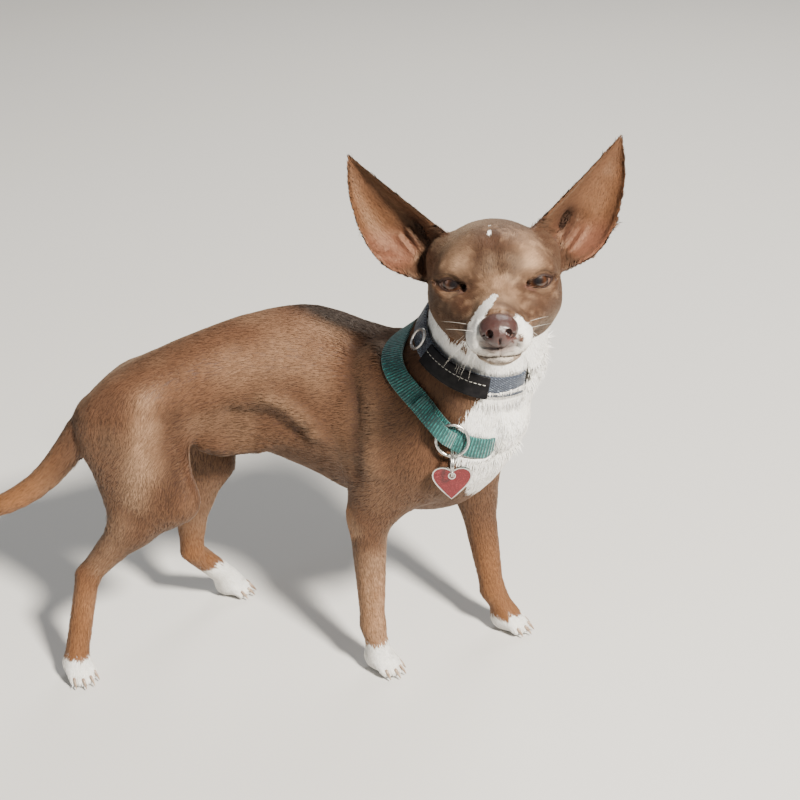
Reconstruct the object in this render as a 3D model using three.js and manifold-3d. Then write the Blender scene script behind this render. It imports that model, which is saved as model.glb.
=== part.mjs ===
// A chihuahua standing with its head turned back to one side, life size, in millimetres, +Z up.
// +X is the way the dog stands, +Y its left. The body is one field of blended forms, meshed node by
// node and parted with thin flat cuts. Ears, eyes, claws and what the dog wears are made apart.
import * as THREE from 'three';
import { mergeVertices } from 'three/addons/utils/BufferGeometryUtils.js';
import Module from 'manifold-3d';

const wasm = await Module();
wasm.setup();

const v = (x, y, z) => new THREE.Vector3(x, y, z);
const rad = THREE.MathUtils.degToRad;
const lerp = THREE.MathUtils.lerp;

// Gap between nodes that meet
const gap = 0.3;

// Headings of the hind and the front quarters and of the head, in degrees from +X
const rearHeading = 15;
const frontHeading = -28;
const head = { place: v(143, -52, 260), heading: -79, lift: 9, roll: 2.8 };

// Outline of the trunk from rump to breast: place along X, middle in Y, top, underline, half width
const trunk = [
  { x: -87, y: -48, top: 165, low: 150, half: 5 },
  { x: -76, y: -43, top: 178, low: 136, half: 21 },
  { x: -57, y: -36, top: 189, low: 130, half: 30 },
  { x: -31, y: -23, top: 199, low: 136, half: 31 },
  { x: -5, y: -9, top: 206.5, low: 128, half: 32 },
  { x: 28, y: 2, top: 210, low: 111, half: 37 },
  { x: 62, y: 3, top: 202, low: 95, half: 38 },
  { x: 92, y: -3, top: 198, low: 93, half: 37 },
  { x: 120, y: -11, top: 188, low: 104, half: 33 },
  { x: 140, y: -15, top: 175, low: 124, half: 24 },
  { x: 154, y: -15, top: 160, low: 146, half: 5 },
];

// Joints and radii of the legs, the right side first
const hindLegs = {
  right: {
    rump: v(-69, -57, 151), hip: v(-56, -53, 150), stifle: v(-36, -57, 112), calf: v(-60, -60, 94),
    hock: v(-87, -69, 62), ball: v(-93, -84, 12), toes: -42,
  },
  left: {
    rump: v(-77, -29, 150), hip: v(-64, -15, 148), stifle: v(-32, -3, 108), calf: v(-44, -6, 84),
    hock: v(-46, -6, 44), ball: v(-31, 15, 12), toes: 6,
  },
};
const frontLegs = {
  right: {
    blade: v(82, -25, 180), shoulder: v(100, -33, 140), elbow: v(71, -31, 99), wrist: v(75, -39, 31),
    ball: v(79, -40, 12), toes: -24,
  },
  left: {
    blade: v(100, 20, 178), shoulder: v(126, 18, 136), elbow: v(124, 25, 88), wrist: v(137, 16, 27),
    ball: v(146, 15, 12), toes: -10,
  },
};
const neckLine = { base: v(104, -4, 168), middle: v(131, -5, 204), top: v(137, -14, 240) };
const tailLine = [v(-70, -42, 165), v(-82, -50, 157), v(-95, -57, 139), v(-112, -62, 118),
  v(-136, -64, 101), v(-162, -62, 92), v(-186, -59, 94), v(-203, -56, 105)];
const tailRadius = { root: 11, tip: 3.2 };

// Head sizes, in the head's own frame: X to the nose, Y to its left, Z up, from between the eyes
const eye = { x: 0, y: 20.5, z: 1, radius: 8.6, outward: 14, upward: 4 };
const slit = { wide: 13.4, above: 3.4, below: 2.7 };
// The inner rim of each ear runs nearly straight from its root on the crown to the tip
const ears = {
  right: { root: v(-24, -23, 22), tip: v(-36, -71, 61) },
  left: { root: v(-24, 20, 23), tip: v(-36, 66, 65) },
};

// Signed distances, negative inside. Each form is a function of x, y and z.
function taper(a, b, ra, rb, flat = 1, side = v(0, 1, 0)) {
  const ab = b.clone().sub(a);
  const inverse = 1 / ab.lengthSq();
  const squeeze = 1 / flat - 1;
  const form = (x, y, z) => {
    let dx = x - a.x;
    let dy = y - a.y;
    let dz = z - a.z;
    const t = Math.min(Math.max((dx * ab.x + dy * ab.y + dz * ab.z) * inverse, 0), 1);
    dx -= ab.x * t;
    dy -= ab.y * t;
    dz -= ab.z * t;
    const across = (dx * side.x + dy * side.y + dz * side.z) * squeeze;
    return Math.hypot(dx + side.x * across, dy + side.y * across, dz + side.z * across)
      - lerp(ra, rb, t);
  };
  form.ball = { ...a.clone().lerp(b, 0.5), r: Math.sqrt(ab.lengthSq()) / 2 + Math.max(ra, rb) };
  return form;
}

// An ellipsoid in a frame of its own: radii along the frame's three axes
function egg(frame, centre, radii) {
  const place = centre.clone().applyMatrix4(frame);
  const [ex, ey, ez] = [v(0, 0, 0), v(0, 0, 0), v(0, 0, 0)];
  frame.extractBasis(ex, ey, ez);
  const form = (x, y, z) => {
    const dx = x - place.x;
    const dy = y - place.y;
    const dz = z - place.z;
    const a = (dx * ex.x + dy * ex.y + dz * ex.z) / radii.x;
    const b = (dx * ey.x + dy * ey.y + dz * ey.z) / radii.y;
    const c = (dx * ez.x + dy * ez.y + dz * ez.z) / radii.z;
    const k = Math.hypot(a, b, c);
    const g = Math.hypot(a / radii.x, b / radii.y, c / radii.z);
    return g < 1e-9 ? -Math.min(radii.x, radii.y, radii.z) : k * (k - 1) / g;
  };
  form.ball = { ...place, r: Math.max(radii.x, radii.y, radii.z) };
  return form;
}

const smoothMin = (a, b, k) => {
  const h = Math.max(k - Math.abs(a - b), 0) / k;
  return Math.min(a, b) - h * h * k / 4;
};

// Forms are added, or cut away, one after the other with a soft seam. One too far off is passed over.
function blended(forms) {
  return (x, y, z) => {
    let d = 1e3;
    for (const { form, seam, cut } of forms) {
      const { ball } = form;
      const near = (cut ? -d : d) + seam + (ball ? ball.r : 1e3);
      if (ball && near > 0 && (x - ball.x) ** 2 + (y - ball.y) ** 2 + (z - ball.z) ** 2 > near * near) {
        continue;
      }
      const e = form(x, y, z);
      d = cut ? -smoothMin(-d, e, seam) : smoothMin(d, e, seam);
    }
    return d;
  };
}
const add = (form, seam) => ({ form, seam, cut: false });

function frameAt(place, heading, lift = 0, roll = 0) {
  const turn = new THREE.Quaternion().setFromEuler(
    new THREE.Euler(rad(roll), rad(-lift), rad(heading), 'ZYX'));
  return new THREE.Matrix4().compose(place, turn, v(1, 1, 1));
}
const headFrame = frameAt(head.place, head.heading, head.lift, head.roll);
const inHead = (x, y, z) => v(x, y, z).applyMatrix4(headFrame);

// The trunk: egg-shaped sections, a little narrower below, between the stations of its outline
function trunkForm() {
  const xs = trunk.map((s) => s.x);
  const narrowing = 0.16;
  const curve = ['y', 'top', 'low', 'half'].map((key) => trunk.map((s) => s[key]));
  const at = (values, i, t) => {
    const p0 = values[Math.max(i - 1, 0)];
    const [p1, p2] = [values[i], values[i + 1]];
    const p3 = values[Math.min(i + 2, values.length - 1)];
    const x0 = xs[Math.max(i - 1, 0)];
    const [x1, x2] = [xs[i], xs[i + 1]];
    const x3 = xs[Math.min(i + 2, xs.length - 1)];
    const m1 = (p2 - p0) / (x2 - x0) * (x2 - x1);
    const m2 = (p3 - p1) / (x3 - x1) * (x2 - x1);
    const [t2, t3] = [t * t, t * t * t];
    return (2 * t3 - 3 * t2 + 1) * p1 + (t3 - 2 * t2 + t) * m1
      + (3 * t2 - 2 * t3) * p2 + (t3 - t2) * m2;
  };
  return (x, y, z) => {
    const last = xs.length - 1;
    const cx = Math.min(Math.max(x, xs[0]), xs[last]);
    let i = 0;
    while (i < last - 1 && cx > xs[i + 1]) i += 1;
    const t = (cx - xs[i]) / (xs[i + 1] - xs[i]);
    const [my, top, low, half] = curve.map((values) => at(values, i, t));
    const tall = (top - low) / 2;
    const up = (z - (top + low) / 2) / tall;
    const wide = half * (1 + narrowing * Math.min(Math.max(up, -1), 1));
    const ring = Math.hypot((y - my) / wide, up);
    const aside = (ring - 1) * Math.min(tall, half);
    return x === cx ? aside : Math.hypot(Math.max(aside, 0), x - cx);
  };
}

// The four toes of a paw, outer and inner ones set back: where each starts and ends, and its heading
const toeSpread = [[-1, 0, 6.2, -14], [-1, 1, 2.3, -4], [1, 1, 2.3, 4], [1, 0, 6.2, 14]];
function toesOf(ball, heading, long) {
  const frame = frameAt(v(ball.x, ball.y, 0), heading);
  return toeSpread.map(([side, ahead, wide, splay]) => ({
    root: v(4 * long, side * wide * 0.85, 9).applyMatrix4(frame),
    tip: v((9 + 3.6 * ahead) * long, side * wide, 4.4).applyMatrix4(frame),
    heading: heading + splay,
  }));
}

function pawForms(ball, heading, long) {
  const frame = frameAt(v(ball.x, ball.y, 0), heading);
  const pad = add(egg(frame, v(0, 0, 7.6), v(10 * long, 7.8, 8)), 6);
  return [pad, ...toesOf(ball, heading, long).map(({ root, tip }) => add(taper(root, tip, 3.9, 3.4), 1.4))];
}

const turned = (p, degrees) => p.clone().applyAxisAngle(v(0, 0, 1), rad(degrees));

// Neck, from between the shoulders up under the skull, and the breast below it
const breast = { at: v(131, -12, 178), radii: v(26, 24, 26) };
const neckForms = () => [
  add(taper(neckLine.base, neckLine.middle, 32, 34, 0.94), 15),
  add(egg(frameAt(v(0, 0, 0), frontHeading), turned(breast.at, -frontHeading), breast.radii), 16),
  add(taper(neckLine.middle, neckLine.top, 34, 29, 0.92), 12),
];

const trunkSeam = 10;
function bodyForms() {
  const rearSide = v(Math.sin(rad(rearHeading)), -Math.cos(rad(rearHeading)), 0);
  const frontSide = v(Math.sin(rad(frontHeading)), -Math.cos(rad(frontHeading)), 0);
  const forms = [add(trunkForm(), trunkSeam)];
  forms.push(...neckForms());
  for (const [name, leg] of Object.entries(frontLegs)) {
    const out = name === 'right' ? frontSide : frontSide.clone().negate();
    forms.push(add(taper(leg.blade, leg.shoulder, 20, 19, 0.62, frontSide), 14));
    forms.push(add(taper(leg.shoulder, leg.elbow, 19, 12.5, 0.8, frontSide), 10));
    const triceps = leg.blade.clone().lerp(leg.elbow, 0.5).addScaledVector(out, 2);
    forms.push(add(taper(triceps, leg.elbow, 19, 11, 0.66, frontSide), 10));
    forms.push(add(taper(leg.elbow, leg.wrist, 11.5, 7.2), 5));
    forms.push(add(taper(leg.wrist, leg.ball, 7.3, 7.2), 4));
    forms.push(...pawForms(leg.ball, leg.toes, 1));
  }
  for (const leg of Object.values(hindLegs)) {
    forms.push(add(taper(leg.hip, leg.stifle, 29, 15, 0.58, rearSide), 14));
    forms.push(add(taper(leg.rump, leg.calf, 18, 12, 0.62, rearSide), 12));
    forms.push(add(taper(leg.stifle, leg.calf, 14, 12, 0.8, rearSide), 8));
    forms.push(add(taper(leg.calf, leg.hock, 12, 6.8, 0.85, rearSide), 6));
    forms.push(add(taper(leg.hock, leg.ball, 7.2, 7.2), 4));
    forms.push(...pawForms(leg.ball, leg.toes, 0.95));
  }
  forms.push(add(taper(tailLine[0], tailLine[1], tailRadius.root, tailRadius.root - 1), 8));
  return forms;
}

function tailForms() {
  const points = new THREE.CatmullRomCurve3(tailLine).getPoints(20);
  const radius = (k) => lerp(tailRadius.root, tailRadius.tip, k / (points.length - 1));
  return points.slice(1).map((point, i) => add(taper(points[i], point, radius(i), radius(i + 1)), 2));
}

// The head from the skull out, each form laid on the ones before it. An egg has its middle and radii,
// a taper its two ends and radii. One off the middle line has a twin on the other side.
const headShapes = {
  skull: { at: [-27, 0, 2], radii: [36, 30, 24], seam: 8 },
  forehead: { at: [-8, 0, 8], radii: [21.5, 26.5, 17.5], seam: 10 },
  cheek: { at: [-10, 22, -9], radii: [20, 12, 13], seam: 12 },
  brow: { at: [0, 16, 7], radii: [9, 11, 7], seam: 10 },
  bridge: { from: [4, 0, -9], to: [42, 0, -11.5], radii: [13, 7.6], seam: 11 },
  muzzle: { at: [29, 0, -15], radii: [20.5, 14, 10.5], seam: 8 },
  upperLip: { at: [31, 7.8, -17.3], radii: [15.5, 8.4, 8.4], seam: 5 },
  throat: { from: [-6, 0, -23], to: [14, 0, -24], radii: [14, 11], seam: 8 },
  chin: { at: [29, 0, -25], radii: [18, 11, 7.6], seam: 4 },
  jaw: { at: [-10, 18, -20], radii: [14, 10, 11], seam: 10 },
  earRoot: { at: [-24, 25, 8], radii: [12, 9, 11], seam: 9 },
  innerCorner: { at: [14.5, 20.5, 1], radii: [5.5, 7.5, 5], seam: 6, cut: true },
  underEye: { at: [10, 17, -10], radii: [12, 8, 9], seam: 12 },
  lids: { at: [eye.x, eye.y, eye.z], radii: [eye.radius + 1.6, eye.radius + 1.6, eye.radius + 0.8], seam: 3 },
};

function headForms() {
  return Object.values(headShapes).flatMap(({ at, from, to, radii, seam, cut = false }) => {
    if (from) return add(taper(inHead(...from), inHead(...to), ...radii), seam);
    const sides = at[1] ? [1, -1] : [1];
    return sides.map((side) =>
      ({ form: egg(headFrame, v(at[0], side * at[1], at[2]), v(...radii)), seam, cut }));
  });
}

const body = blended(bodyForms());
const skull = blended(headForms());
const tail = blended(tailForms());
const headSeam = 10;
const flesh = (x, y, z) => smoothMin(body(x, y, z), skull(x, y, z), headSeam);
const collared = blended([add(trunkForm(), trunkSeam), ...neckForms()]);
const face = (x, y, z) => smoothMin(collared(x, y, z), skull(x, y, z), headSeam);

// Meshing: each cell of a grid is six tetrahedra, and the surface cuts each in one or two triangles
const tetrahedra = [[0, 1, 3, 7], [0, 1, 5, 7], [0, 2, 3, 7], [0, 2, 6, 7], [0, 4, 5, 7], [0, 4, 6, 7]];

function surface(field, lo, hi, cell) {
  const n = ['x', 'y', 'z'].map((k) => Math.ceil((hi[k] - lo[k]) / cell) + 1);
  const place = (c) => [lo.x + (c % n[0]) * cell, lo.y + (Math.floor(c / n[0]) % n[1]) * cell,
    lo.z + Math.floor(c / (n[0] * n[1])) * cell];
  const values = new Float32Array(n[0] * n[1] * n[2]);
  for (let c = 0; c < values.length; c += 1) {
    const at = [c % n[0], Math.floor(c / n[0]) % n[1], Math.floor(c / (n[0] * n[1]))];
    const rim = at.some((x, m) => x === 0 || x === n[m] - 1);
    values[c] = rim ? cell : field(...place(c)) || 1e-6;
  }
  const step = [1, n[0], n[0] * n[1]];
  const offsets = [0, 1, 2, 3, 4, 5, 6, 7].map((b) =>
    (b & 1 ? step[0] : 0) + (b & 2 ? step[1] : 0) + (b & 4 ? step[2] : 0));
  const points = [];
  const onEdge = new Map();
  const crossing = (base, p, q) => {
    const [s, e] = p < q ? [p, q] : [q, p];
    const key = (base + offsets[s]) * 8 + (e ^ s);
    if (!onEdge.has(key)) {
      const [u, w] = [base + offsets[s], base + offsets[e]];
      const t = Math.min(Math.max(values[u] / (values[u] - values[w]), 0.08), 0.92);
      const [a, b] = [place(u), place(w)];
      onEdge.set(key, points.length);
      points.push(a.map((x, m) => lerp(x, b[m], t)));
    }
    return onEdge.get(key);
  };
  const faces = [];
  const face = (a, b, c, from) => {
    const [p, q, r] = [a, b, c].map((k) => points[k]);
    const u = q.map((x, m) => x - p[m]);
    const w = r.map((x, m) => x - p[m]);
    const out = (u[1] * w[2] - u[2] * w[1]) * (p[0] - from[0])
      + (u[2] * w[0] - u[0] * w[2]) * (p[1] - from[1]) + (u[0] * w[1] - u[1] * w[0]) * (p[2] - from[2]);
    faces.push(out > 0 ? [a, b, c] : [a, c, b]);
  };
  for (let k = 0; k < n[2] - 1; k += 1) {
    for (let j = 0; j < n[1] - 1; j += 1) {
      for (let i = 0; i < n[0] - 1; i += 1) {
        const base = i + step[1] * j + step[2] * k;
        const inside = offsets.map((o) => values[base + o] < 0);
        if (inside.every((x) => x === inside[0])) continue;
        for (const tetra of tetrahedra) {
          const ins = tetra.filter((c) => inside[c]);
          const outs = tetra.filter((c) => !inside[c]);
          if (!ins.length || !outs.length) continue;
          const from = place(base + offsets[ins[0]]);
          if (ins.length === 2) {
            const [a, b] = ins;
            const [c, d] = outs;
            const ring = [[a, c], [a, d], [b, d], [b, c]].map(([p, q]) => crossing(base, p, q));
            face(ring[0], ring[1], ring[2], from);
            face(ring[0], ring[2], ring[3], from);
          } else if (ins.length === 1) {
            face(...outs.map((q) => crossing(base, ins[0], q)), from);
          } else {
            const tip = place(base + offsets[outs[0]]);
            const ring = ins.map((p) => crossing(base, p, outs[0]));
            face(...ring, tip.map((x, m) => 2 * points[ring[0]][m] - x));
          }
        }
      }
    }
  }
  settle(field, points, cell);
  return { points, faces };
}

// Draws each point along the slope of the field onto its surface
function settle(field, points, cell, rounds = 4) {
  const e = 0.05;
  for (const p of points) {
    for (let r = 0; r < rounds; r += 1) {
      const d = field(...p);
      if (Math.abs(d) > cell) break;
      const g = [0, 1, 2].map((m) => {
        const q = [...p];
        q[m] += e;
        return (field(...q) - d) / e;
      });
      const slope = Math.max(g[0] ** 2 + g[1] ** 2 + g[2] ** 2, 0.2);
      for (let m = 0; m < 3; m += 1) p[m] -= g[m] * d / slope;
    }
  }
}

// Thinning: joins the two ends of the edge that changes the shape least, again and again
function thin({ points, faces }, target) {
  const pos = points.map((p) => [...p]);
  const tris = faces.map((f) => [...f]);
  const alive = new Uint8Array(tris.length).fill(1);
  const around = pos.map(() => new Set());
  tris.forEach((f, i) => f.forEach((p) => around[p].add(i)));
  const normalOf = (a, b, c) => {
    const [ux, uy, uz] = [b[0] - a[0], b[1] - a[1], b[2] - a[2]];
    const [wx, wy, wz] = [c[0] - a[0], c[1] - a[1], c[2] - a[2]];
    return [uy * wz - uz * wy, uz * wx - ux * wz, ux * wy - uy * wx];
  };
  const quadrics = pos.map(() => new Float64Array(10));
  for (const f of tris) {
    const n = normalOf(...f.map((p) => pos[p]));
    const area = Math.hypot(...n) || 1e-12;
    const [a, b, c] = n.map((x) => x / area);
    const d = -(a * pos[f[0]][0] + b * pos[f[0]][1] + c * pos[f[0]][2]);
    const plane = [a * a, a * b, a * c, a * d, b * b, b * c, b * d, c * c, c * d, d * d];
    for (const p of f) plane.forEach((x, i) => { quadrics[p][i] += x * area; });
  }
  // A faint pull to where each point was keeps long thin faces away on flat stretches
  pos.forEach(([x, y, z], i) => {
    const pull = 0.002 * [...around[i]].length;
    [1, 0, 0, -x, 1, 0, -y, 1, -z, x * x + y * y + z * z].forEach((c, k) => {
      quadrics[i][k] += pull * c;
    });
  });
  const error = (q, [x, y, z]) => q[0] * x * x + 2 * q[1] * x * y + 2 * q[2] * x * z + 2 * q[3] * x
    + q[4] * y * y + 2 * q[5] * y * z + 2 * q[6] * y + q[7] * z * z + 2 * q[8] * z + q[9];
  const best = (q, a, b) => {
    const det = q[0] * (q[4] * q[7] - q[5] * q[5]) - q[1] * (q[1] * q[7] - q[5] * q[2])
      + q[2] * (q[1] * q[5] - q[4] * q[2]);
    const middle = [0, 1, 2].map((m) => (a[m] + b[m]) / 2);
    const choices = [a, b, middle];
    if (Math.abs(det) > 1e-6) {
      const p = [
        -(q[3] * (q[4] * q[7] - q[5] * q[5]) - q[1] * (q[6] * q[7] - q[5] * q[8])
          + q[2] * (q[6] * q[5] - q[4] * q[8])) / det,
        -(q[0] * (q[6] * q[7] - q[8] * q[5]) - q[3] * (q[1] * q[7] - q[5] * q[2])
          + q[2] * (q[1] * q[8] - q[6] * q[2])) / det,
        -(q[0] * (q[4] * q[8] - q[5] * q[6]) - q[1] * (q[1] * q[8] - q[6] * q[2])
          + q[3] * (q[1] * q[5] - q[4] * q[2])) / det,
      ];
      const reach = Math.hypot(...p.map((x, m) => x - middle[m]));
      if (reach < 2 * Math.hypot(...[0, 1, 2].map((m) => a[m] - b[m]))) choices.push(p);
    }
    return choices.map((p) => [error(q, p), p]).reduce((s, t) => (t[0] < s[0] ? t : s));
  };
  const stamp = new Uint32Array(pos.length);
  const heap = [];
  const push = (item) => {
    let i = heap.push(item) - 1;
    while (i > 0) {
      const up = (i - 1) >> 1;
      if (heap[up].cost <= item.cost) break;
      heap[i] = heap[up];
      i = up;
    }
    heap[i] = item;
  };
  const pop = () => {
    const top = heap[0];
    const item = heap.pop();
    if (!heap.length) return top;
    let i = 0;
    for (;;) {
      let down = 2 * i + 1;
      if (down >= heap.length) break;
      if (down + 1 < heap.length && heap[down + 1].cost < heap[down].cost) down += 1;
      if (heap[down].cost >= item.cost) break;
      heap[i] = heap[down];
      i = down;
    }
    heap[i] = item;
    return top;
  };
  const offer = (a, b) => {
    const q = quadrics[a].map((x, i) => x + quadrics[b][i]);
    const [cost, place] = best(q, pos[a], pos[b]);
    const length = Math.hypot(...[0, 1, 2].map((m) => pos[a][m] - pos[b][m]));
    push({ cost: Math.max(cost, 0) + 1e-5 * length ** 3, a, b, place, sa: stamp[a], sb: stamp[b] });
  };
  const neighbours = (p) => {
    const set = new Set();
    for (const i of around[p]) for (const q of tris[i]) if (q !== p) set.add(q);
    return set;
  };
  pos.forEach((_, a) => { for (const b of neighbours(a)) if (a < b) offer(a, b); });
  let left = tris.length;
  while (left > target && heap.length) {
    const { a, b, place, sa, sb } = pop();
    if (sa !== stamp[a] || sb !== stamp[b] || !around[a].size || !around[b].size) continue;
    const beside = neighbours(b);
    let shared = 0;
    for (const p of neighbours(a)) if (beside.has(p)) shared += 1;
    if (shared !== 2) continue;
    const turned = [a, b].some((p) => [...around[p]].some((i) => {
      const f = tris[i];
      if (f.includes(a) && f.includes(b)) return false;
      const before = normalOf(...f.map((q) => pos[q]));
      const after = normalOf(...f.map((q) => (q === p ? place : pos[q])));
      const size = Math.hypot(...before) * Math.hypot(...after);
      const dot = before[0] * after[0] + before[1] * after[1] + before[2] * after[2];
      return dot < 0.3 * size || Math.hypot(...after) < 1e-4;
    }));
    if (turned) continue;
    pos[a] = place;
    quadrics[b].forEach((x, i) => { quadrics[a][i] += x; });
    for (const i of [...around[b]]) {
      const f = tris[i];
      if (f.includes(a)) {
        alive[i] = 0;
        left -= 1;
        for (const p of f) around[p].delete(i);
      } else {
        f[f.indexOf(b)] = a;
        around[a].add(i);
      }
    }
    around[b].clear();
    stamp[b] += 1;
    stamp[a] += 1;
    for (const p of neighbours(a)) offer(Math.min(a, p), Math.max(a, p));
  }
  return { points: pos, faces: tris.filter((_, i) => alive[i]) };
}

function toSolid({ points, faces }) {
  const used = new Map();
  const verts = [];
  const tris = faces.flat().map((p) => {
    if (!used.has(p)) {
      used.set(p, used.size);
      verts.push(...points[p]);
    }
    return used.get(p);
  });
  const solid = (list) => new wasm.Manifold(new wasm.Mesh({
    numProp: 3, vertProperties: new Float32Array(verts), triVerts: new Uint32Array(list) }));
  const made = solid(tris);
  return made.volume() < 0 ? solid(tris.reverse()) : made;
}

// Keeps what lies on the side of the plane that the normal points to, moved in by an inset
function keepBeyond(solid, normal, through, inset = 0) {
  const n = normal.clone().normalize();
  return solid.trimByPlane([n.x, n.y, n.z], n.dot(through) + inset);
}
const largest = (solid) => solid.decompose().reduce((a, b) => (b.volume() > a.volume() ? b : a));

function toGeometry(solid) {
  const mesh = solid.getMesh();
  const geometry = new THREE.BufferGeometry();
  geometry.setAttribute('position', new THREE.BufferAttribute(new Float32Array(mesh.vertProperties), 3));
  geometry.setIndex(new THREE.BufferAttribute(new Uint32Array(mesh.triVerts), 1));
  return geometry;
}

// Loft: closed rings of points joined one to the next, into a loop or with a strip over each end
function loft(rings, loop = false) {
  const n = rings[0].length;
  const points = rings.flat().map((p) => p.toArray());
  const faces = [];
  for (let i = 0; i < rings.length - (loop ? 0 : 1); i += 1) {
    const next = (i + 1) % rings.length;
    for (let j = 0; j < n; j += 1) {
      const [a, b] = [i * n + j, i * n + (j + 1) % n];
      const [c, d] = [next * n + j, next * n + (j + 1) % n];
      faces.push([a, b, d], [a, d, c]);
    }
  }
  if (!loop) {
    const end = (rings.length - 1) * n;
    for (let j = 0; j < n / 2 - 1; j += 1) {
      const [a, b, c, d] = [j, j + 1, n - 2 - j, n - 1 - j];
      faces.push([a, c, b], [a, d, c], [end + a, end + b, end + c], [end + a, end + c, end + d]);
    }
  }
  return { points, faces: faces.filter(([p, q, r]) => p !== q && q !== r && r !== p) };
}

function fromGeometry(geometry) {
  const bare = geometry.clone();
  bare.deleteAttribute('normal');
  bare.deleteAttribute('uv');
  const merged = mergeVertices(bare, 1e-4);
  const array = merged.attributes.position.array;
  const index = merged.index.array;
  const points = [];
  for (let i = 0; i < array.length; i += 3) points.push([array[i], array[i + 1], array[i + 2]]);
  const faces = [];
  for (let i = 0; i < index.length; i += 3) faces.push([index[i], index[i + 1], index[i + 2]]);
  return toSolid({ points, faces: faces.filter(([p, q, r]) => p !== q && q !== r && r !== p) });
}

const finishes = {
  coat: new THREE.MeshStandardMaterial({ color: 0x5a3826, roughness: 0.6, metalness: 0 }),
  leather: new THREE.MeshStandardMaterial({ color: 0x4a2c26, roughness: 0.35, metalness: 0 }),
  eye: new THREE.MeshStandardMaterial({ color: 0x3a1f10, roughness: 0.05, metalness: 0 }),
  claw: new THREE.MeshStandardMaterial({ color: 0x6b5648, roughness: 0.4, metalness: 0 }),
  webbing: new THREE.MeshStandardMaterial({ color: 0x2f4f78, roughness: 0.8, metalness: 0 }),
  teal: new THREE.MeshStandardMaterial({ color: 0x1f8f86, roughness: 0.8, metalness: 0 }),
  sleeve: new THREE.MeshStandardMaterial({ color: 0x17181c, roughness: 0.5, metalness: 0 }),
  steel: new THREE.MeshStandardMaterial({ color: 0xb8bcc0, roughness: 0.3, metalness: 1 }),
  tag: new THREE.MeshStandardMaterial({ color: 0xb01626, roughness: 0.35, metalness: 0.5 }),
};

const dog = new THREE.Group();
function node(name, solid, material) {
  const mesh = new THREE.Mesh(toGeometry(solid), material);
  mesh.name = name;
  dog.add(mesh);
}

// Flat cuts between the nodes: a point on each, and the way to the outer node
const cuts = {
  head: { through: inHead(-22, 0, -27), way: inHead(0.6, 0, 1).sub(head.place) },
  neck: { through: v(112, -4, 186), way: v(0.6, -0.05, 0.8) },
  tail: { through: tailLine[1].clone().lerp(tailLine[2], 0.3), way: tailLine[2].clone().sub(tailLine[1]) },
  legFrontRight: { through: v(80, -40, 112), way: v(0, -0.6, -0.8) },
  legFrontLeft: { through: v(124, 28, 104), way: v(0, 0.6, -0.8) },
  legHindRight: { through: v(-50, -58, 136), way: v(0.1, -0.55, -0.83) },
  legHindLeft: { through: v(-50, 0, 128), way: v(0, 0.5, -0.87) },
};
const beyond = (cut, solid) => keepBeyond(solid, cut.way, cut.through, gap / 2);
const before = (cut, solid) => keepBeyond(solid, cut.way.clone().negate(), cut.through, gap / 2);

// The cell of the grid and the number of faces kept for each piece of flesh
const meshing = {
  head: { cell: 1.7, kept: 4000 },
  neck: { cell: 4, kept: 760 },
  torso: { cell: 4, kept: 2400 },
  leg: { cell: 2.2, kept: 900 },
  tail: { cell: 2.5, kept: 420 },
  nose: { cell: 0.9, kept: 340 },
  noseRoom: { cell: 1.6, kept: 130 },
};

// The stretch of a field inside a box, meshed and thinned
function piece(field, lo, hi, { cell, kept }) {
  return toSolid(thin(surface(field, lo, hi, cell), kept));
}
const block = (lo, hi) => fromGeometry(new THREE.BoxGeometry(hi.x - lo.x, hi.y - lo.y, hi.z - lo.z)
  .translate((lo.x + hi.x) / 2, (lo.y + hi.y) / 2, (lo.z + hi.z) / 2));

// Values read from a short list of places along a length
function along(table, s) {
  const i = Math.max(1, Math.min(table.length - 1, table.findIndex(([at]) => at >= s)));
  const [[s0, a], [s1, b]] = [table[i - 1], table[i]];
  return lerp(a, b, THREE.MathUtils.clamp((s - s0) / (s1 - s0), 0, 1));
}

// An ear: a leaf bent to a cup that opens forward, from inside the skull out to its tip
const earWidth = [[-0.15, 27], [0, 31], [0.2, 35], [0.4, 33], [0.6, 27], [0.8, 18], [0.93, 9], [1, 2.4]];
const earDepth = [[-0.15, 15], [0, 16], [0.3, 14], [0.6, 9.5], [0.85, 4.5], [1, 1]];
const earThickness = { root: 2.6, tip: 1.4 };

function earSolid(side, { root, tip }) {
  const rows = 15;
  const columns = 9;
  const rim = tip.clone().sub(root);
  const open = v(0.95, side * 0.1, 0.2);
  open.addScaledVector(rim, -open.dot(rim) / rim.lengthSq()).normalize();
  const across = rim.clone().cross(open).normalize().multiplyScalar(side);
  const rings = [];
  for (let r = 0; r < rows; r += 1) {
    const s = lerp(-0.15, 1, 1 - (1 - r / (rows - 1)) ** 1.3);
    const half = along(earWidth, s) / 2;
    const deep = along(earDepth, s);
    const thick = Math.min(lerp(earThickness.root, earThickness.tip, Math.max(s, 0)), half * 0.6,
      deep * 0.8);
    const centre = root.clone().addScaledVector(rim, s).addScaledVector(across, half)
      .addScaledVector(open, 4 - 2 * s);
    const leaf = (t, inset) => {
      const turn = (t * Math.PI) / 2;
      const curl = t < 0 ? 3 * t * t * Math.sin(Math.PI * THREE.MathUtils.clamp(s, 0, 1)) : 0;
      return centre.clone().addScaledVector(across, (half - inset) * Math.sin(turn))
        .addScaledVector(open, curl - (deep - inset) * Math.cos(turn)).applyMatrix4(headFrame);
    };
    const ts = Array.from({ length: columns }, (_, c) => lerp(-1, 1, c / (columns - 1)));
    rings.push([...ts.map((t) => leaf(t, 0)), ...ts.map((t) => leaf(t * 0.97, thick)).reverse()]);
  }
  if (side < 0) rings.forEach((ring) => ring.reverse());
  const way = rim.clone().addScaledVector(across, 8).transformDirection(headFrame);
  const through = root.clone().addScaledVector(rim, 0.12).applyMatrix4(headFrame);
  return { solid: toSolid(loft(rings)), cut: { through, way } };
}

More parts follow.
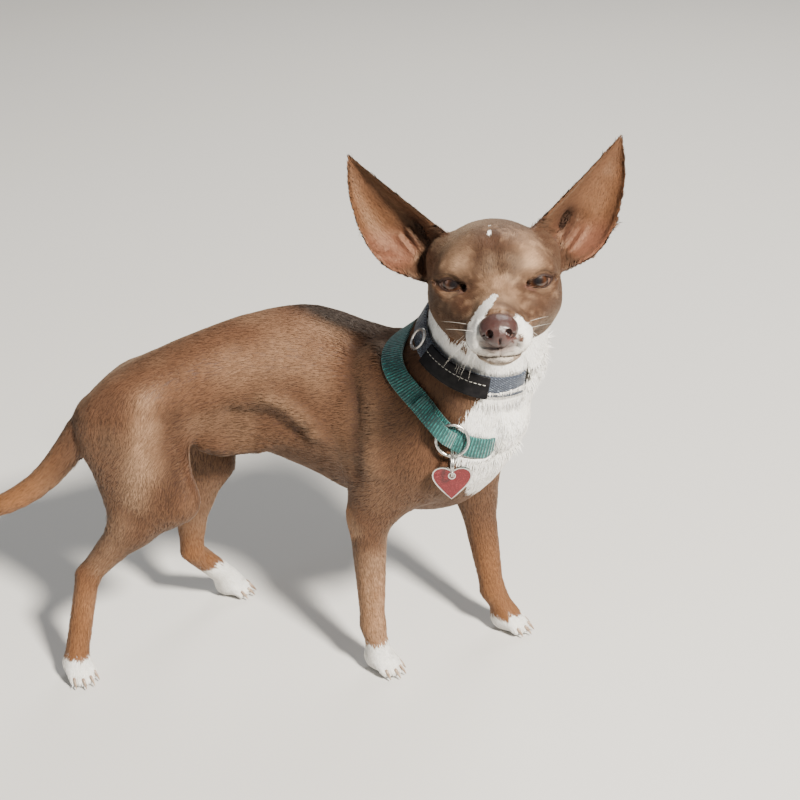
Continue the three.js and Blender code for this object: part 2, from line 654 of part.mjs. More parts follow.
// An eyeball, and the room for it with what the lids leave open in front
function eyeParts(side) {
  const gaze = frameAt(inHead(eye.x, side * eye.y, eye.z), head.heading + side * eye.outward,
    head.lift + eye.upward, head.roll);
  const ball = (radius) =>
    fromGeometry(new THREE.SphereGeometry(radius, 16, 10).rotateZ(-Math.PI / 2).applyMatrix4(gaze));
  const almond = new THREE.Shape();
  almond.moveTo(-slit.wide / 2, 0);
  almond.quadraticCurveTo(0, 2 * slit.above, slit.wide / 2, 0);
  almond.quadraticCurveTo(0, -2 * slit.below, -slit.wide / 2, 0);
  const opening = new THREE.ExtrudeGeometry(almond, { depth: 16, bevelEnabled: false, curveSegments: 5 });
  opening.applyMatrix4(new THREE.Matrix4().makeBasis(v(0, 1, 0), v(0, 0, 1), v(1, 0, 0)));
  return {
    ball: ball(eye.radius),
    room: ball(eye.radius + 0.5).add(fromGeometry(opening.applyMatrix4(gaze))),
  };
}

// Nose leather, let into the front of the muzzle, with a nostril each side and a groove between
const nose = {
  middle: v(44.5, 0, -11.5),
  pad: { at: v(44.5, 0, -10.5), radii: v(9, 9.8, 6.9), seam: 1 },
  foot: { at: v(44, 0, -14), radii: v(9, 6, 5.4), seam: 5 },
  reach: 12,
  room: 0.5,
};
const nostril = { at: v(52.6, 4.9, -11), radii: v(4.2, 2.1, 2.5), turn: 0.5 };
const nostrilWing = { at: v(50.2, 8.3, -12.6), radii: v(4, 1.9, 0.8), turn: 0.9, tilt: -0.35 };
const noseGroove = { at: v(53.1, 0, -16.1), radii: v(1.4, 0.55, 4.6) };
function noseForm(grow) {
  const grown = (radii) => radii.clone().addScalar(grow);
  return blended([nose.pad, nose.foot].map(({ at, radii, seam }) =>
    add(egg(headFrame, at, grown(radii)), seam)));
}
function noseSolid() {
  const middle = nose.middle.clone().applyMatrix4(headFrame);
  const lo = middle.clone().subScalar(nose.reach);
  const hi = middle.clone().addScalar(nose.reach);
  const cutter = ({ at, radii, turn = 0, tilt = 0 }, side = 1) =>
    fromGeometry(new THREE.SphereGeometry(1, 8, 6).scale(radii.x, radii.y, radii.z).rotateX(side * tilt)
      .rotateZ(side * turn).translate(at.x, side * at.y, at.z).applyMatrix4(headFrame));
  let solid = piece(noseForm(0), lo, hi, meshing.nose).subtract(cutter(noseGroove));
  for (const side of [-1, 1]) {
    solid = solid.subtract(cutter(nostril, side)).subtract(cutter(nostrilWing, side));
  }
  return { solid: largest(solid), room: piece(noseForm(nose.room), lo, hi, meshing.noseRoom) };
}

// The line of the mouth: a thin slot let into the skin between the lips, back to each corner
const mouth = { pivot: 13, front: -24.8, corner: -25.6, dip: 1, slot: 1.2, deep: 2.4, out: 5 };
function mouthSlot() {
  const rings = [];
  const steps = 22;
  for (let i = 0; i <= steps; i += 1) {
    const turn = lerp(-92, 92, i / steps);
    const ahead = Math.max(Math.cos(rad(turn)), 0);
    const z = lerp(mouth.corner, mouth.front, ahead) - mouth.dip * Math.sin(Math.PI * ahead);
    const at = (reach) => v(mouth.pivot + reach * Math.cos(rad(turn)), reach * Math.sin(rad(turn)), z);
    let [near, far] = [4, 50];
    for (let k = 0; k < 18; k += 1) {
      const mid = (near + far) / 2;
      const p = at(mid).applyMatrix4(headFrame);
      if (skull(p.x, p.y, p.z) < 0) near = mid;
      else far = mid;
    }
    const [inside, outside] = [near - mouth.deep, near + mouth.out].map(at);
    const half = mouth.slot / 2;
    rings.push([[inside, -half], [outside, -half], [outside, half], [inside, half]]
      .map(([p, up]) => v(p.x, p.y, p.z + up).applyMatrix4(headFrame)));
  }
  return toSolid(loft(rings));
}

// A strap round the neck: a band let a little way into the coat all the way round. It may sag: the
// table gives how far along the way each part of the turn lies. The room is what it takes up.
const strapSteps = 44;
function strap({ centre, way, wide, thick, sunk, sag = [[0, 0], [1, 0]] }) {
  const up = way.clone().normalize();
  const east = v(1, 0, 0).addScaledVector(up, -up.x).normalize();
  const north = up.clone().cross(east);
  const rayAt = (turn) => east.clone().multiplyScalar(Math.cos(turn * 2 * Math.PI))
    .addScaledVector(north, Math.sin(turn * 2 * Math.PI));
  const reach = (turn, shift) => {
    const ray = rayAt(turn);
    const start = centre.clone().addScaledVector(up, shift);
    let [near, far] = [5, 70];
    for (let i = 0; i < 20; i += 1) {
      const mid = (near + far) / 2;
      const p = start.clone().addScaledVector(ray, mid);
      if (flesh(p.x, p.y, p.z) < 0) near = mid;
      else far = mid;
    }
    return near;
  };
  // Radius and height of each edge, at the width of the strap measured along the slope of the coat
  const count = 48;
  const edges = Array.from({ length: count }, (_, i) => {
    const turn = i / count;
    const shift = along(sag, turn);
    const slope = (reach(turn, shift + wide / 3) - reach(turn, shift - wide / 3)) / (wide / 1.5);
    const half = wide / 2 / Math.hypot(1, slope);
    const [low, middle, high] = [-half, 0, half].map((k) => reach(turn, shift + k));
    const bulge = Math.max(0, middle - (low + high) / 2) - sunk;
    return [low + bulge, high + bulge, shift - half, shift + half];
  });
  const eased = edges.map((edge, i) => edge.map((_, k) =>
    [-2, -1, 0, 1, 2].reduce((sum, j) => sum + edges[(i + j + count) % count][k], 0) / 5));
  const section = (turn, inner = 0, outer = thick, spread = 0) => {
    const at = (((turn % 1) + 1) % 1) * count;
    const i = Math.floor(at);
    const [low, high, down, above] = [0, 1, 2, 3].map((k) =>
      lerp(eased[i % count][k], eased[(i + 1) % count][k], at - i));
    const ray = rayAt(turn);
    const edge = centre.clone().addScaledVector(ray, low).addScaledVector(up, down);
    const other = centre.clone().addScaledVector(ray, high).addScaledVector(up, above);
    const across = other.clone().sub(edge).normalize();
    const out = ray.clone().addScaledVector(across, -across.dot(ray)).normalize();
    return [[edge, inner, -1], [edge, outer, -1], [other, outer, 1], [other, inner, 1]]
      .map(([p, away, side]) => p.clone().addScaledVector(out, away).addScaledVector(across, side * spread));
  };
  const turns = Array.from({ length: strapSteps }, (_, i) => i / strapSteps);
  const band = (...sizes) => toSolid(loft(turns.map((turn) => section(turn, ...sizes)), true));
  return { solid: band(), room: band(-1.5 * gap, thick + 6, 1.5 * gap), section };
}

// Claws: short curved horns, each let into the end of its toe
const claw = { long: 6.4, thick: 1.5, droop: 2.2, sunk: 2.4, steps: 3, sides: 6, lift: -24 };
function clawSolid(root, heading, grow) {
  const frame = frameAt(root, heading, claw.lift);
  const rings = [];
  for (let i = 0; i <= claw.steps; i += 1) {
    const s = i / claw.steps;
    const radius = claw.thick * (1 - 0.8 * s ** 1.4) + grow;
    const x = lerp(-claw.sunk - grow, claw.long - claw.sunk + grow, s);
    const z = -claw.droop * s * s;
    const ring = [];
    for (let k = 0; k < claw.sides; k += 1) {
      const turn = ((k + 0.5) * 2 * Math.PI) / claw.sides;
      ring.push(v(x, Math.cos(turn) * radius * 0.8, z + Math.sin(turn) * radius * 1.1).applyMatrix4(frame));
    }
    rings.push(ring);
  }
  return toSolid(loft(rings));
}

// What the dog wears: a woven collar with a leather sleeve, and a ribbed strap lower down. Both
// have a steel ring, and a heart-shaped tag hangs from the lower one by a split ring.
const collar = { centre: v(131, -5, 210), way: v(0.246, -0.392, 0.886), wide: 12, thick: 2, sunk: 1.8 };
const sleeve = { from: 0.615, to: 0.785, wide: 13.6, thick: 1.6 };
const lower = {
  centre: v(116, -6, 182), way: v(0.5, -0.36, 0.79), wide: 12, thick: 2, sunk: 1.4,
  sag: [[0, -1], [0.1, -4], [0.21, -4], [0.33, 0], [0.43, 2.5], [0.55, 6], [0.64, 6.5], [0.69, 4.2],
    [0.74, 1.4], [0.77, 0], [0.81, 1], [0.86, 3.4], [0.93, 2.5], [1, -1]],
};
// The fold lies over the ring: how far above the strap its inner face runs along the turn
const fold = { wide: 9, thick: 1.8, lift: [[0.66, 0.4], [0.7, 0.6], [0.724, 5.3], [0.75, 5.3], [0.772, 0.5]] };
const ringSides = [6, 24];
const ovalRing = { turn: 0.578, along: 4.4, across: 6.4, wire: 0.9, clear: 0.5 };
const tagRing = { turn: 0.768, radius: 8.75, wire: 1.1, tilt: 5, clear: 0.8 };
const splitRing = { radius: 7.2, wire: 0.8, out: 4.4, facing: v(0.208, -0.978, 0) };
const heart = { wide: 21.5, high: 19.5, thick: 1.5, hole: 1.5, above: 0.13 };

const upper = strap(collar);
const under = strap(lower);
function wornItems() {
  node('collar_band', upper.solid, finishes.webbing);
  const cover = Array.from({ length: 13 }, (_, i) => upper.section(lerp(sleeve.from, sleeve.to, i / 12),
    collar.thick + gap, collar.thick + gap + sleeve.thick, (sleeve.wide - collar.wide) / 2));
  node('collar_sleeve', toSolid(loft(cover)), finishes.sleeve);
  node('lower_strap', under.solid, finishes.teal);
  const first = fold.lift[0][0];
  const last = fold.lift[fold.lift.length - 1][0];
  const folds = Array.from({ length: 15 }, (_, i) => {
    const turn = lerp(first, last, i / 14);
    const away = lower.thick + along(fold.lift, turn);
    return under.section(turn, away, away + fold.thick, (fold.wide - lower.wide) / 2);
  });
  node('strap_fold', toSolid(loft(folds)), finishes.teal);

  // A frame on a strap's outer face: X along the strap, Y across it, Z away from the neck
  const onStrap = ({ section }, turn, away) => {
    const [, low, high] = section(turn);
    const [, next] = section(turn + 0.01);
    const across = high.clone().sub(low).normalize();
    const out = across.clone().cross(next.clone().sub(low)).normalize();
    if (out.dot(low.clone().sub(section(turn)[0])) < 0) out.negate();
    const place = low.clone().add(high).multiplyScalar(0.5).addScaledVector(out, away);
    return { place, out, seat: new THREE.Matrix4().makeBasis(across.clone().cross(out), across, out)
      .setPosition(place) };
  };
  const oval = new THREE.TorusGeometry(ovalRing.along, ovalRing.wire, ...ringSides)
    .scale(1, ovalRing.across / ovalRing.along, 1)
    .applyMatrix4(onStrap(upper, ovalRing.turn, ovalRing.wire + gap + ovalRing.clear).seat);
  node('oval_ring', fromGeometry(oval), finishes.steel);

  const { place, out, seat } = onStrap(under, tagRing.turn, tagRing.wire + gap + tagRing.clear);
  const level = v(0, 0, 1).cross(out).normalize();
  const tilt = new THREE.Matrix4().makeRotationAxis(level, rad(-tagRing.tilt));
  seat.setPosition(0, 0, 0).premultiply(tilt).setPosition(place);
  out.applyMatrix4(tilt);
  node('tag_ring', fromGeometry(new THREE.TorusGeometry(tagRing.radius, tagRing.wire, ...ringSides)
    .applyMatrix4(seat)), finishes.steel);
  const down = v(0, 0, -1).addScaledVector(out, out.z).normalize();
  const hook = place.clone().addScaledVector(down, tagRing.radius);
  const { facing } = splitRing;
  const beside = v(-facing.y, facing.x, 0);
  const reach = splitRing.radius - splitRing.wire - tagRing.wire - 1.4 * gap;
  const hang = hook.clone().addScaledVector(facing, splitRing.out)
    .add(v(0, 0, -Math.sqrt(reach ** 2 - splitRing.out ** 2)));
  const splitFrame = new THREE.Matrix4().makeBasis(facing, v(0, 0, 1), beside.clone().negate())
    .setPosition(hang);
  node('split_ring', fromGeometry(new THREE.TorusGeometry(splitRing.radius, splitRing.wire, ...ringSides)
    .applyMatrix4(splitFrame)), finishes.steel);

  const shape = new THREE.Shape();
  const [w, h] = [heart.wide / 2, heart.high];
  shape.moveTo(0, -h * 0.62);
  shape.bezierCurveTo(w * 0.55, -h * 0.34, w, -h * 0.08, w, h * 0.14);
  shape.bezierCurveTo(w, h * 0.42, w * 0.28, h * 0.48, 0, h * 0.26);
  shape.bezierCurveTo(-w * 0.28, h * 0.48, -w, h * 0.42, -w, h * 0.14);
  shape.bezierCurveTo(-w, -h * 0.08, -w * 0.55, -h * 0.34, 0, -h * 0.62);
  const hole = new THREE.Path();
  hole.absarc(0, h * heart.above, heart.hole, 0, 2 * Math.PI, true);
  shape.holes.push(hole);
  const tag = new THREE.ExtrudeGeometry(shape, { depth: heart.thick, bevelEnabled: false, curveSegments: 8 });
  const tagPlace = hang.clone().add(v(0, 0, -splitRing.radius - h * heart.above))
    .addScaledVector(facing, -heart.thick / 2);
  node('heart_tag', fromGeometry(tag.applyMatrix4(new THREE.Matrix4().makeBasis(beside, v(0, 0, 1), facing)
    .setPosition(tagPlace))), finishes.tag);
}

const noseParts = noseSolid();
const headBox = new THREE.Box3();
for (const x of [-66, 52]) {
  for (const y of [-40, 40]) for (const z of [-40, 32]) headBox.expandByPoint(inHead(x, y, z));
}
let headSolid = beyond(cuts.head, piece(face, headBox.min, headBox.max, meshing.head));
headSolid = headSolid.subtract(noseParts.room).subtract(mouthSlot());
for (const [name, side] of [['right', -1], ['left', 1]]) {
  const { solid, cut } = earSolid(side, ears[name]);
  headSolid = headSolid.add(before(cut, solid));
  node(`ear_${name}`, largest(beyond(cut, solid)), finishes.coat);
  const { ball, room } = eyeParts(side);
  headSolid = headSolid.subtract(room);
  node(`eye_${name}`, ball, finishes.eye);
}
node('head', largest(headSolid), finishes.coat);
node('nose', noseParts.solid, finishes.leather);

const neckBox = [v(80, -60, 140), v(186, 40, 266)];
const neckSolid = before(cuts.head, beyond(cuts.neck, piece(flesh, ...neckBox, meshing.neck)));
node('neck', largest(neckSolid.subtract(upper.room).subtract(under.room)), finishes.coat);

const legs = {
  leg_front_right: { room: [v(50, -76, -4), v(112, -14, 130)], cut: cuts.legFrontRight },
  leg_front_left: { room: [v(98, 2, -4), v(172, 50, 124)], cut: cuts.legFrontLeft },
  leg_hind_right: { room: [v(-114, -114, -4), v(-8, -33, 160)], cut: cuts.legHindRight },
  leg_hind_left: { room: [v(-110, -33, -4), v(-4, 40, 160)], cut: cuts.legHindLeft },
};
const tailBox = [v(-216, -84, 80), v(-50, -28, 186)];
const tailClear = 1.2;
const tailSolid = piece(tail, ...tailBox, meshing.tail);
const tailRoom = keepBeyond(piece((x, y, z) => tail(x, y, z) - tailClear, ...tailBox, meshing.tail),
  cuts.tail.way, cuts.tail.through, -gap / 2);
const torsoBox = [v(-96, -96, 84), v(166, 56, 216)];
let torsoSolid = before(cuts.neck, piece(body, ...torsoBox, meshing.torso));
for (const { room: [lo, hi], cut } of Object.values(legs)) {
  torsoSolid = torsoSolid.subtract(keepBeyond(block(lo, hi), cut.way, cut.through, -gap / 2));
}
torsoSolid = torsoSolid.subtract(tailRoom).add(before(cuts.tail, tailSolid));
torsoSolid = torsoSolid.subtract(upper.room).subtract(under.room);
node('torso', largest(torsoSolid), finishes.coat);
node('tail', largest(beyond(cuts.tail, tailSolid)), finishes.coat);
const paws = {
  leg_front_right: [frontLegs.right, 1], leg_front_left: [frontLegs.left, 1],
  leg_hind_right: [hindLegs.right, 0.95], leg_hind_left: [hindLegs.left, 0.95],
};
for (const [name, { room, cut }] of Object.entries(legs)) {
  let solid = beyond(cut, piece(body, ...room, meshing.leg)).trimByPlane([0, 0, 1], 0).subtract(tailRoom);
  const [{ ball, toes }, long] = paws[name];
  toesOf(ball, toes, long).forEach(({ tip, heading }, i) => {
    const root = v(tip.x, tip.y, tip.z + 1).add(v(2.4, 0, 0).applyAxisAngle(v(0, 0, 1), rad(heading)));
    solid = solid.subtract(clawSolid(root, heading, gap + 0.1));
    node(`claw_${name.slice(4)}_${i + 1}`, clawSolid(root, heading, 0), finishes.claw);
  });
  node(name, largest(solid), finishes.coat);
}
wornItems();

// The model's origin: on the floor below the middle of its bounding box
const box = new THREE.Box3().setFromObject(dog, true);
dog.position.set(-(box.min.x + box.max.x) / 2, -(box.min.y + box.max.y) / 2, -box.min.z);

export default dog;
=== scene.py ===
import math

import bmesh
import bpy
import numpy as np
from mathutils import Matrix, Vector, bvhtree, kdtree


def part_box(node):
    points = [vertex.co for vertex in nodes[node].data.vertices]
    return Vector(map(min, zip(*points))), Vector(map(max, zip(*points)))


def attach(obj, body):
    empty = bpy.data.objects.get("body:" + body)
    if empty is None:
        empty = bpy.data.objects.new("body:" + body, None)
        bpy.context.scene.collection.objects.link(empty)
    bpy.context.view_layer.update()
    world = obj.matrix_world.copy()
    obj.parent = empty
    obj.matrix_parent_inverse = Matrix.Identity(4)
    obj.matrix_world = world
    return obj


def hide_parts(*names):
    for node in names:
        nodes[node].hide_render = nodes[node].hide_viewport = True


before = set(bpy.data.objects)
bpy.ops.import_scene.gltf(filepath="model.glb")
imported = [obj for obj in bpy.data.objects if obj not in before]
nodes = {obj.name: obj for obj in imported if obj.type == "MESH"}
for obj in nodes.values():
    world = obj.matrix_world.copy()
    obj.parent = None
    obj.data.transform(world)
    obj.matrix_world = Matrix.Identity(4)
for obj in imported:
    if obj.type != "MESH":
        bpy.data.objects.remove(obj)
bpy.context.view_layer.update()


# small helpers

def deselectAll():
    if bpy.context.mode != "OBJECT":
        bpy.ops.object.mode_set(mode="OBJECT")
    bpy.ops.object.select_all(action="DESELECT")


def makeActive(piece):
    deselectAll()
    piece.select_set(True)
    bpy.context.view_layer.objects.active = piece
    return piece


def centreOf(node):
    low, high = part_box(node)
    return (low + high) / 2


def pointsOf(piece):
    points = np.zeros(len(piece.data.vertices) * 3, np.float32)
    piece.data.vertices.foreach_get("co", points)
    return points.reshape(-1, 3).astype(float)


def setPoints(piece, points):
    piece.data.vertices.foreach_set("co", np.asarray(points, np.float32).ravel())
    piece.data.update()


def normalsOf(piece):
    normals = np.zeros(len(piece.data.vertices) * 3, np.float32)
    piece.data.vertices.foreach_get("normal", normals)
    return normals.reshape(-1, 3).astype(float)


def edgesOf(piece):
    ends = np.zeros(len(piece.data.edges) * 2, np.int32)
    piece.data.edges.foreach_get("vertices", ends)
    return ends.reshape(-1, 2)


def unit(vectors):
    return vectors / np.maximum(np.linalg.norm(vectors, axis=-1, keepdims=True), 1e-12)


def smoothStep(low, high, values):
    t = np.clip((values - low) / (high - low), 0, 1)
    return t * t * (3 - 2 * t)


def bellOf(values, width):
    return np.exp(-(values / width) ** 2)


# how far along a straight piece the nearest place is, and the way from there to each point
def fromSegment(points, start, end):
    along = end - start
    share = np.clip((points - start) @ along / (along @ along), 0, 1)
    return share, points - start - share[:, None] * along


def lineDistance(points, line):
    line = np.array(line)
    nearest = np.full(len(points), 1.0)
    for start, end in zip(line[:-1], line[1:]):
        nearest = np.minimum(nearest, np.linalg.norm(fromSegment(points, start, end)[1], axis=1))
    return nearest


# distance from a round-ended spot, below zero inside it
def spotDistance(points, spot):
    share, off = fromSegment(points, np.array(spot["from"]), np.array(spot["to"]))
    return np.linalg.norm(off, axis=1) - (spot["radii"][0] * (1 - share) + spot["radii"][1] * share)


# a table in metres from one in millimetres; shares, directions and words stay as they are
def metres(table, name=""):
    if isinstance(table, dict):
        return {key: metres(value, key) for key, value in table.items()}
    if name in ("share", "way") or isinstance(table, str):
        return table
    if isinstance(table, (list, tuple)):
        return type(table)(metres(value) for value in table)
    return round(table / 1000, 9)


def joined(pieces):
    deselectAll()
    for piece in pieces:
        piece.select_set(True)
    bpy.context.view_layer.objects.active = pieces[0]
    if len(pieces) > 1:
        bpy.ops.object.join()
    return pieces[0]


# runs operators on the whole mesh in edit mode, each with its settings
def editWhole(piece, *steps):
    makeActive(piece)
    bpy.ops.object.mode_set(mode="EDIT")
    bpy.ops.mesh.select_all(action="SELECT")
    for step, settings in steps:
        step(**settings)
    bpy.ops.object.mode_set(mode="OBJECT")


# a loose copy of CAD nodes, merged so that it closes
def copyOf(name, *sources):
    copies = []
    for source in sources:
        piece = bpy.data.objects.new(name, nodes[source].data.copy())
        bpy.context.scene.collection.objects.link(piece)
        copies.append(piece)
    whole = joined(copies)
    whole.name = name
    whole.data.materials.clear()
    editWhole(whole, (bpy.ops.mesh.remove_doubles, {"threshold": 1e-6}))
    return whole


def applyModifier(piece, kind, **settings):
    makeActive(piece)
    modifier = piece.modifiers.new(kind.title(), kind)
    for setting, value in settings.items():
        setattr(modifier, setting, value)
    bpy.ops.object.modifier_apply(modifier=modifier.name)


# material, slot, body and replaced nodes of a piece that is ready
def finished(piece, material, replaced=(), smooth=True):
    piece.data.materials.clear()
    piece.data.materials.append(material)
    if smooth:
        makeActive(piece)
        bpy.ops.object.shade_smooth()
    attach(piece, "root")
    if replaced:
        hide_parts(*replaced)
    return piece


# camera, anchored on the middle between the eyes

eyesMiddle = (centreOf("eye_left") + centreOf("eye_right")) / 2

cameraView = {
    "fromEyes": (0.10678, -0.73244, 0.32491),
    "turn": 12,
    "down": 28,
    "lens": 72,
    "sensor": 36,
}


def makeCamera():
    data = bpy.data.cameras.new("camera")
    data.lens = cameraView["lens"]
    data.sensor_width = cameraView["sensor"]
    data.clip_end = 20
    camera = bpy.data.objects.new("camera", data)
    camera.location = eyesMiddle + Vector(cameraView["fromEyes"])
    camera.rotation_euler = (math.radians(90 - cameraView["down"]), 0, math.radians(cameraView["turn"]))
    bpy.context.scene.collection.objects.link(camera)
    bpy.context.scene.camera = camera


makeCamera()
print("camera placed")


# materials: a small set of node helpers, then one function for each finish

class Finish:
    def __init__(self, name, roughness=0.5, **sockets):
        self.material = bpy.data.materials.new(name)
        self.material.use_nodes = True
        self.tree = self.material.node_tree
        self.shader = self.tree.nodes["Principled BSDF"]
        self.shader.inputs["Roughness"].default_value = roughness
        for socket, value in sockets.items():
            self.shader.inputs[socket.replace("_", " ")].default_value = value

    def node(self, kind, inputs=(), **settings):
        made = self.tree.nodes.new("ShaderNode" + kind)
        for setting, value in settings.items():
            setattr(made, setting, value)
        for socket, value in dict(inputs).items():
            if hasattr(value, "is_output"):
                self.tree.links.new(value, made.inputs[socket])
            else:
                made.inputs[socket].default_value = value
        return made

    def link(self, output, socket):
        self.tree.links.new(output, self.shader.inputs[socket])

    def place(self):
        return self.node("TexCoord").outputs["Object"]

    def attribute(self, name, output="Color"):
        return self.node("Attribute", attribute_name=name).outputs[output]

    def noise(self, scale, place=None, detail=3):
        made = self.node("TexNoise", {"Scale": scale, "Detail": detail, "Vector": place or self.place()})
        return made.outputs["Fac"]

    def cells(self, scale, output, **settings):
        made = self.node("TexVoronoi", {"Scale": scale, "Vector": self.place()}, **settings)
        return made.outputs[output]

    def maths(self, operation, first, second=0.0):
        return self.node("Math", {0: first, 1: second}, operation=operation).outputs[0]

    def ramp(self, value, *stops):
        made = self.node("ValToRGB", {"Fac": value})
        points = made.color_ramp.elements
        while len(points) < len(stops):
            points.new(0.5)
        for point, (at, colour) in zip(points, stops):
            point.position = at
            point.color = tuple(colour) + (1,)
        return made.outputs["Color"]

    def mix(self, amount, first, second):
        colours = [value if hasattr(value, "is_output") else tuple(value) + (1,) for value in (first, second)]
        return self.node("Mix", {0: amount, 6: colours[0], 7: colours[1]}, data_type="RGBA").outputs[2]

    def bump(self, height, strength, distance):
        made = self.node("Bump", {"Height": height, "Strength": strength, "Distance": distance})
        self.link(made.outputs["Normal"], "Normal")


# stage and light

studio = {
    "floorSize": 8,
    "floorColour": (0.62, 0.61, 0.59),
    "worldColour": (0.92, 0.95, 1.0),
    "worldStrength": 0.18,
    "lamps": {
        "keyLamp": {"place": (1.28, -1.02, 1.75), "size": 0.36, "power": 200, "colour": (1.0, 0.94, 0.84)},
        "fillLamp": {"place": (-1.5, -1.0, 0.9), "size": 1.4, "power": 6, "colour": (0.88, 0.94, 1.0)},
        "backLamp": {"place": (0.2, 1.4, 1.4), "size": 0.9, "power": 16, "colour": (1.0, 0.98, 0.94)},
    },
    "aim": (0.03, -0.01, 0.16),
}


def makeStage():
    deselectAll()
    bpy.ops.mesh.primitive_plane_add(size=studio["floorSize"], location=(0, 0, 0))
    floor = bpy.context.object
    floor.name = "floor"
    paint = Finish("pale floor", 0.85)
    colour = paint.mix(paint.noise(2.5), studio["floorColour"], [c * 0.96 for c in studio["floorColour"]])
    paint.link(colour, "Base Color")
    floor.data.materials.append(paint.material)
    world = bpy.data.worlds.new("studio")
    world.use_nodes = True
    back = world.node_tree.nodes["Background"]
    back.inputs["Color"].default_value = studio["worldColour"] + (1,)
    back.inputs["Strength"].default_value = studio["worldStrength"]
    bpy.context.scene.world = world
    for name, lamp in studio["lamps"].items():
        data = bpy.data.lights.new(name, "AREA")
        data.shape = "DISK"
        data.size = lamp["size"]
        data.energy = lamp["power"]
        data.color = lamp["colour"]
        light = bpy.data.objects.new(name, data)
        light.location = lamp["place"]
        toAim = Vector(studio["aim"]) - light.location
        light.rotation_euler = toAim.to_track_quat("-Z", "Y").to_euler()
        bpy.context.scene.collection.objects.link(light)


makeStage()
print("stage lit")


# the head's own frame: along the muzzle, to its left, up, from the middle between the eyes

headFrame = {"lift": 9, "eyeForward": 0.0, "eyeUp": 0.001}


def axesOfHead():
    left = (centreOf("eye_left") - centreOf("eye_right")).normalized()
    flat = left.cross(Vector((0, 0, 1))).normalized()
    above = flat.cross(left)
    lift = math.radians(headFrame["lift"])
    forward = flat * math.cos(lift) + above * math.sin(lift)
    return np.array([forward, left, forward.cross(left)])


headAxes = axesOfHead()
headMiddle = np.array(eyesMiddle) - headAxes.T @ np.array(
    (headFrame["eyeForward"], 0, headFrame["eyeUp"]))


def toHead(points):
    return (points - headMiddle) @ headAxes.T


def fromHead(points):
    return np.asarray(points, float) @ headAxes + headMiddle


print("head axes", np.round(headAxes, 3).tolist(), "middle", np.round(headMiddle, 4).tolist())


# the collar and the strap: places round each are an angle, a height along its way and a radius. On the
# dog's left the loose skin of throat and chest hides them, at first their lower part alone.

bandFrames = {
    "collar": {"node": "collar_band", "place": (0.13345, 0.02728, 0.210), "way": (0.246, -0.392, 0.886),
               "radius": 0.034, "partly": -82, "wholly": -43, "until": 58, "hidden": (0.30, 0.66),
               "proud": (0.0008, -0.0030)},
    "lower": {"node": "lower_strap", "place": (0.11845, 0.02628, 0.182), "way": (0.5, -0.36, 0.79),
              "radius": 0.036, "partly": -66, "wholly": -51, "until": 52, "hidden": (0.0, 0.40),
              "proud": (0.0008, -0.0018)},
}
# how the skin hangs over them: degrees, metres past their edges, and how deep the hidden bands sink
bandCover = {"blend": 4, "fade": 3, "slope": 0.45, "reach": 0.014, "beyond": 1.5, "lip": (0.0010, -0.0006),
             "bareEdge": 0.0012, "bareDepth": 0.0008, "bandSinks": 0.0052}


def bandAxes(band):
    way = unit(np.array(band["way"]))
    ahead = unit(np.array((1, 0, 0)) - way[0] * way)
    return way, ahead, np.cross(way, ahead)


# angle in degrees, height and radius of each point, with the way outward
def aroundBand(points, band):
    way, ahead, aside = bandAxes(band)
    local = points - np.array(band["place"])
    height = local @ way
    flat = local - height[:, None] * way
    angle = np.degrees(np.arctan2(flat @ aside, flat @ ahead))
    return angle, height, np.linalg.norm(flat, axis=1), unit(flat)


# outer radius and the two edges of a band at the angles given, from its solid every 8 degrees
def bandProfile(band, angles):
    angle, height, radius = aroundBand(pointsOf(nodes[band["node"]]), band)[:3]
    turns = np.arange(-180, 180, 8)
    near = [np.abs((angle - turn + 180) % 360 - 180) < 6 for turn in turns]
    values = [[radius[pick].max(), height[pick].min(), height[pick].max()] for pick in near]
    return [np.interp(angles, turns, column, period=360) for column in np.array(values).T]


# 1 where the loose skin hides the whole of a band
def coveredShare(angle, band):
    blend = bandCover["blend"]
    begins = smoothStep(band["wholly"] - blend, band["wholly"] + blend, angle)
    return begins * smoothStep(band["until"] + 3 * blend, band["until"] - blend, angle)


# the loose skin of throat and chest, drawn out over the bands
def hangOver(points):
    fade, reach = bandCover["fade"], bandCover["reach"]
    for band in bandFrames.values():
        angle, height, radius, outward = aroundBand(points, band)
        outer, low, high = bandProfile(band, angle)
        whole = coveredShare(angle, band)
        partly = smoothStep(band["partly"] - fade, band["partly"] + fade, angle) * (angle < band["until"])
        hidden = np.interp(angle, (band["partly"], band["wholly"]), band["hidden"])
        lip = low + (high - low) * (hidden + (bandCover["beyond"] - hidden) * whole)
        off = np.maximum(np.maximum(low - height, height - high), 0)
        proud = band["proud"][0] + (band["proud"][1] - band["proud"][0]) * whole
        target = outer + proud - bandCover["slope"] * off
        under = smoothStep(lip + bandCover["lip"][0], lip + bandCover["lip"][1], height)
        share = np.maximum(whole, partly * under) * (radius > outer * 0.5)
        share = share * smoothStep(reach, reach * 0.4, off)
        points = points + outward * ((np.maximum(radius, target) - radius) * share)[:, None]
    return points


# where a band lies bare on the skin, so that no coat grows under it
def underBands(points):
    covered = np.zeros(len(points), bool)
    for band in bandFrames.values():
        angle, height, radius, _ = aroundBand(points, band)
        outer, low, high = bandProfile(band, angle)
        between = (height > low + bandCover["bareEdge"]) & (height < high - bandCover["bareEdge"])
        below = (radius < outer - bandCover["bareDepth"]) & (radius > outer * 0.6)
        covered |= between & below & (coveredShare(angle, band) < 0.5)
    return covered


# the skin: every node of flesh in one surface

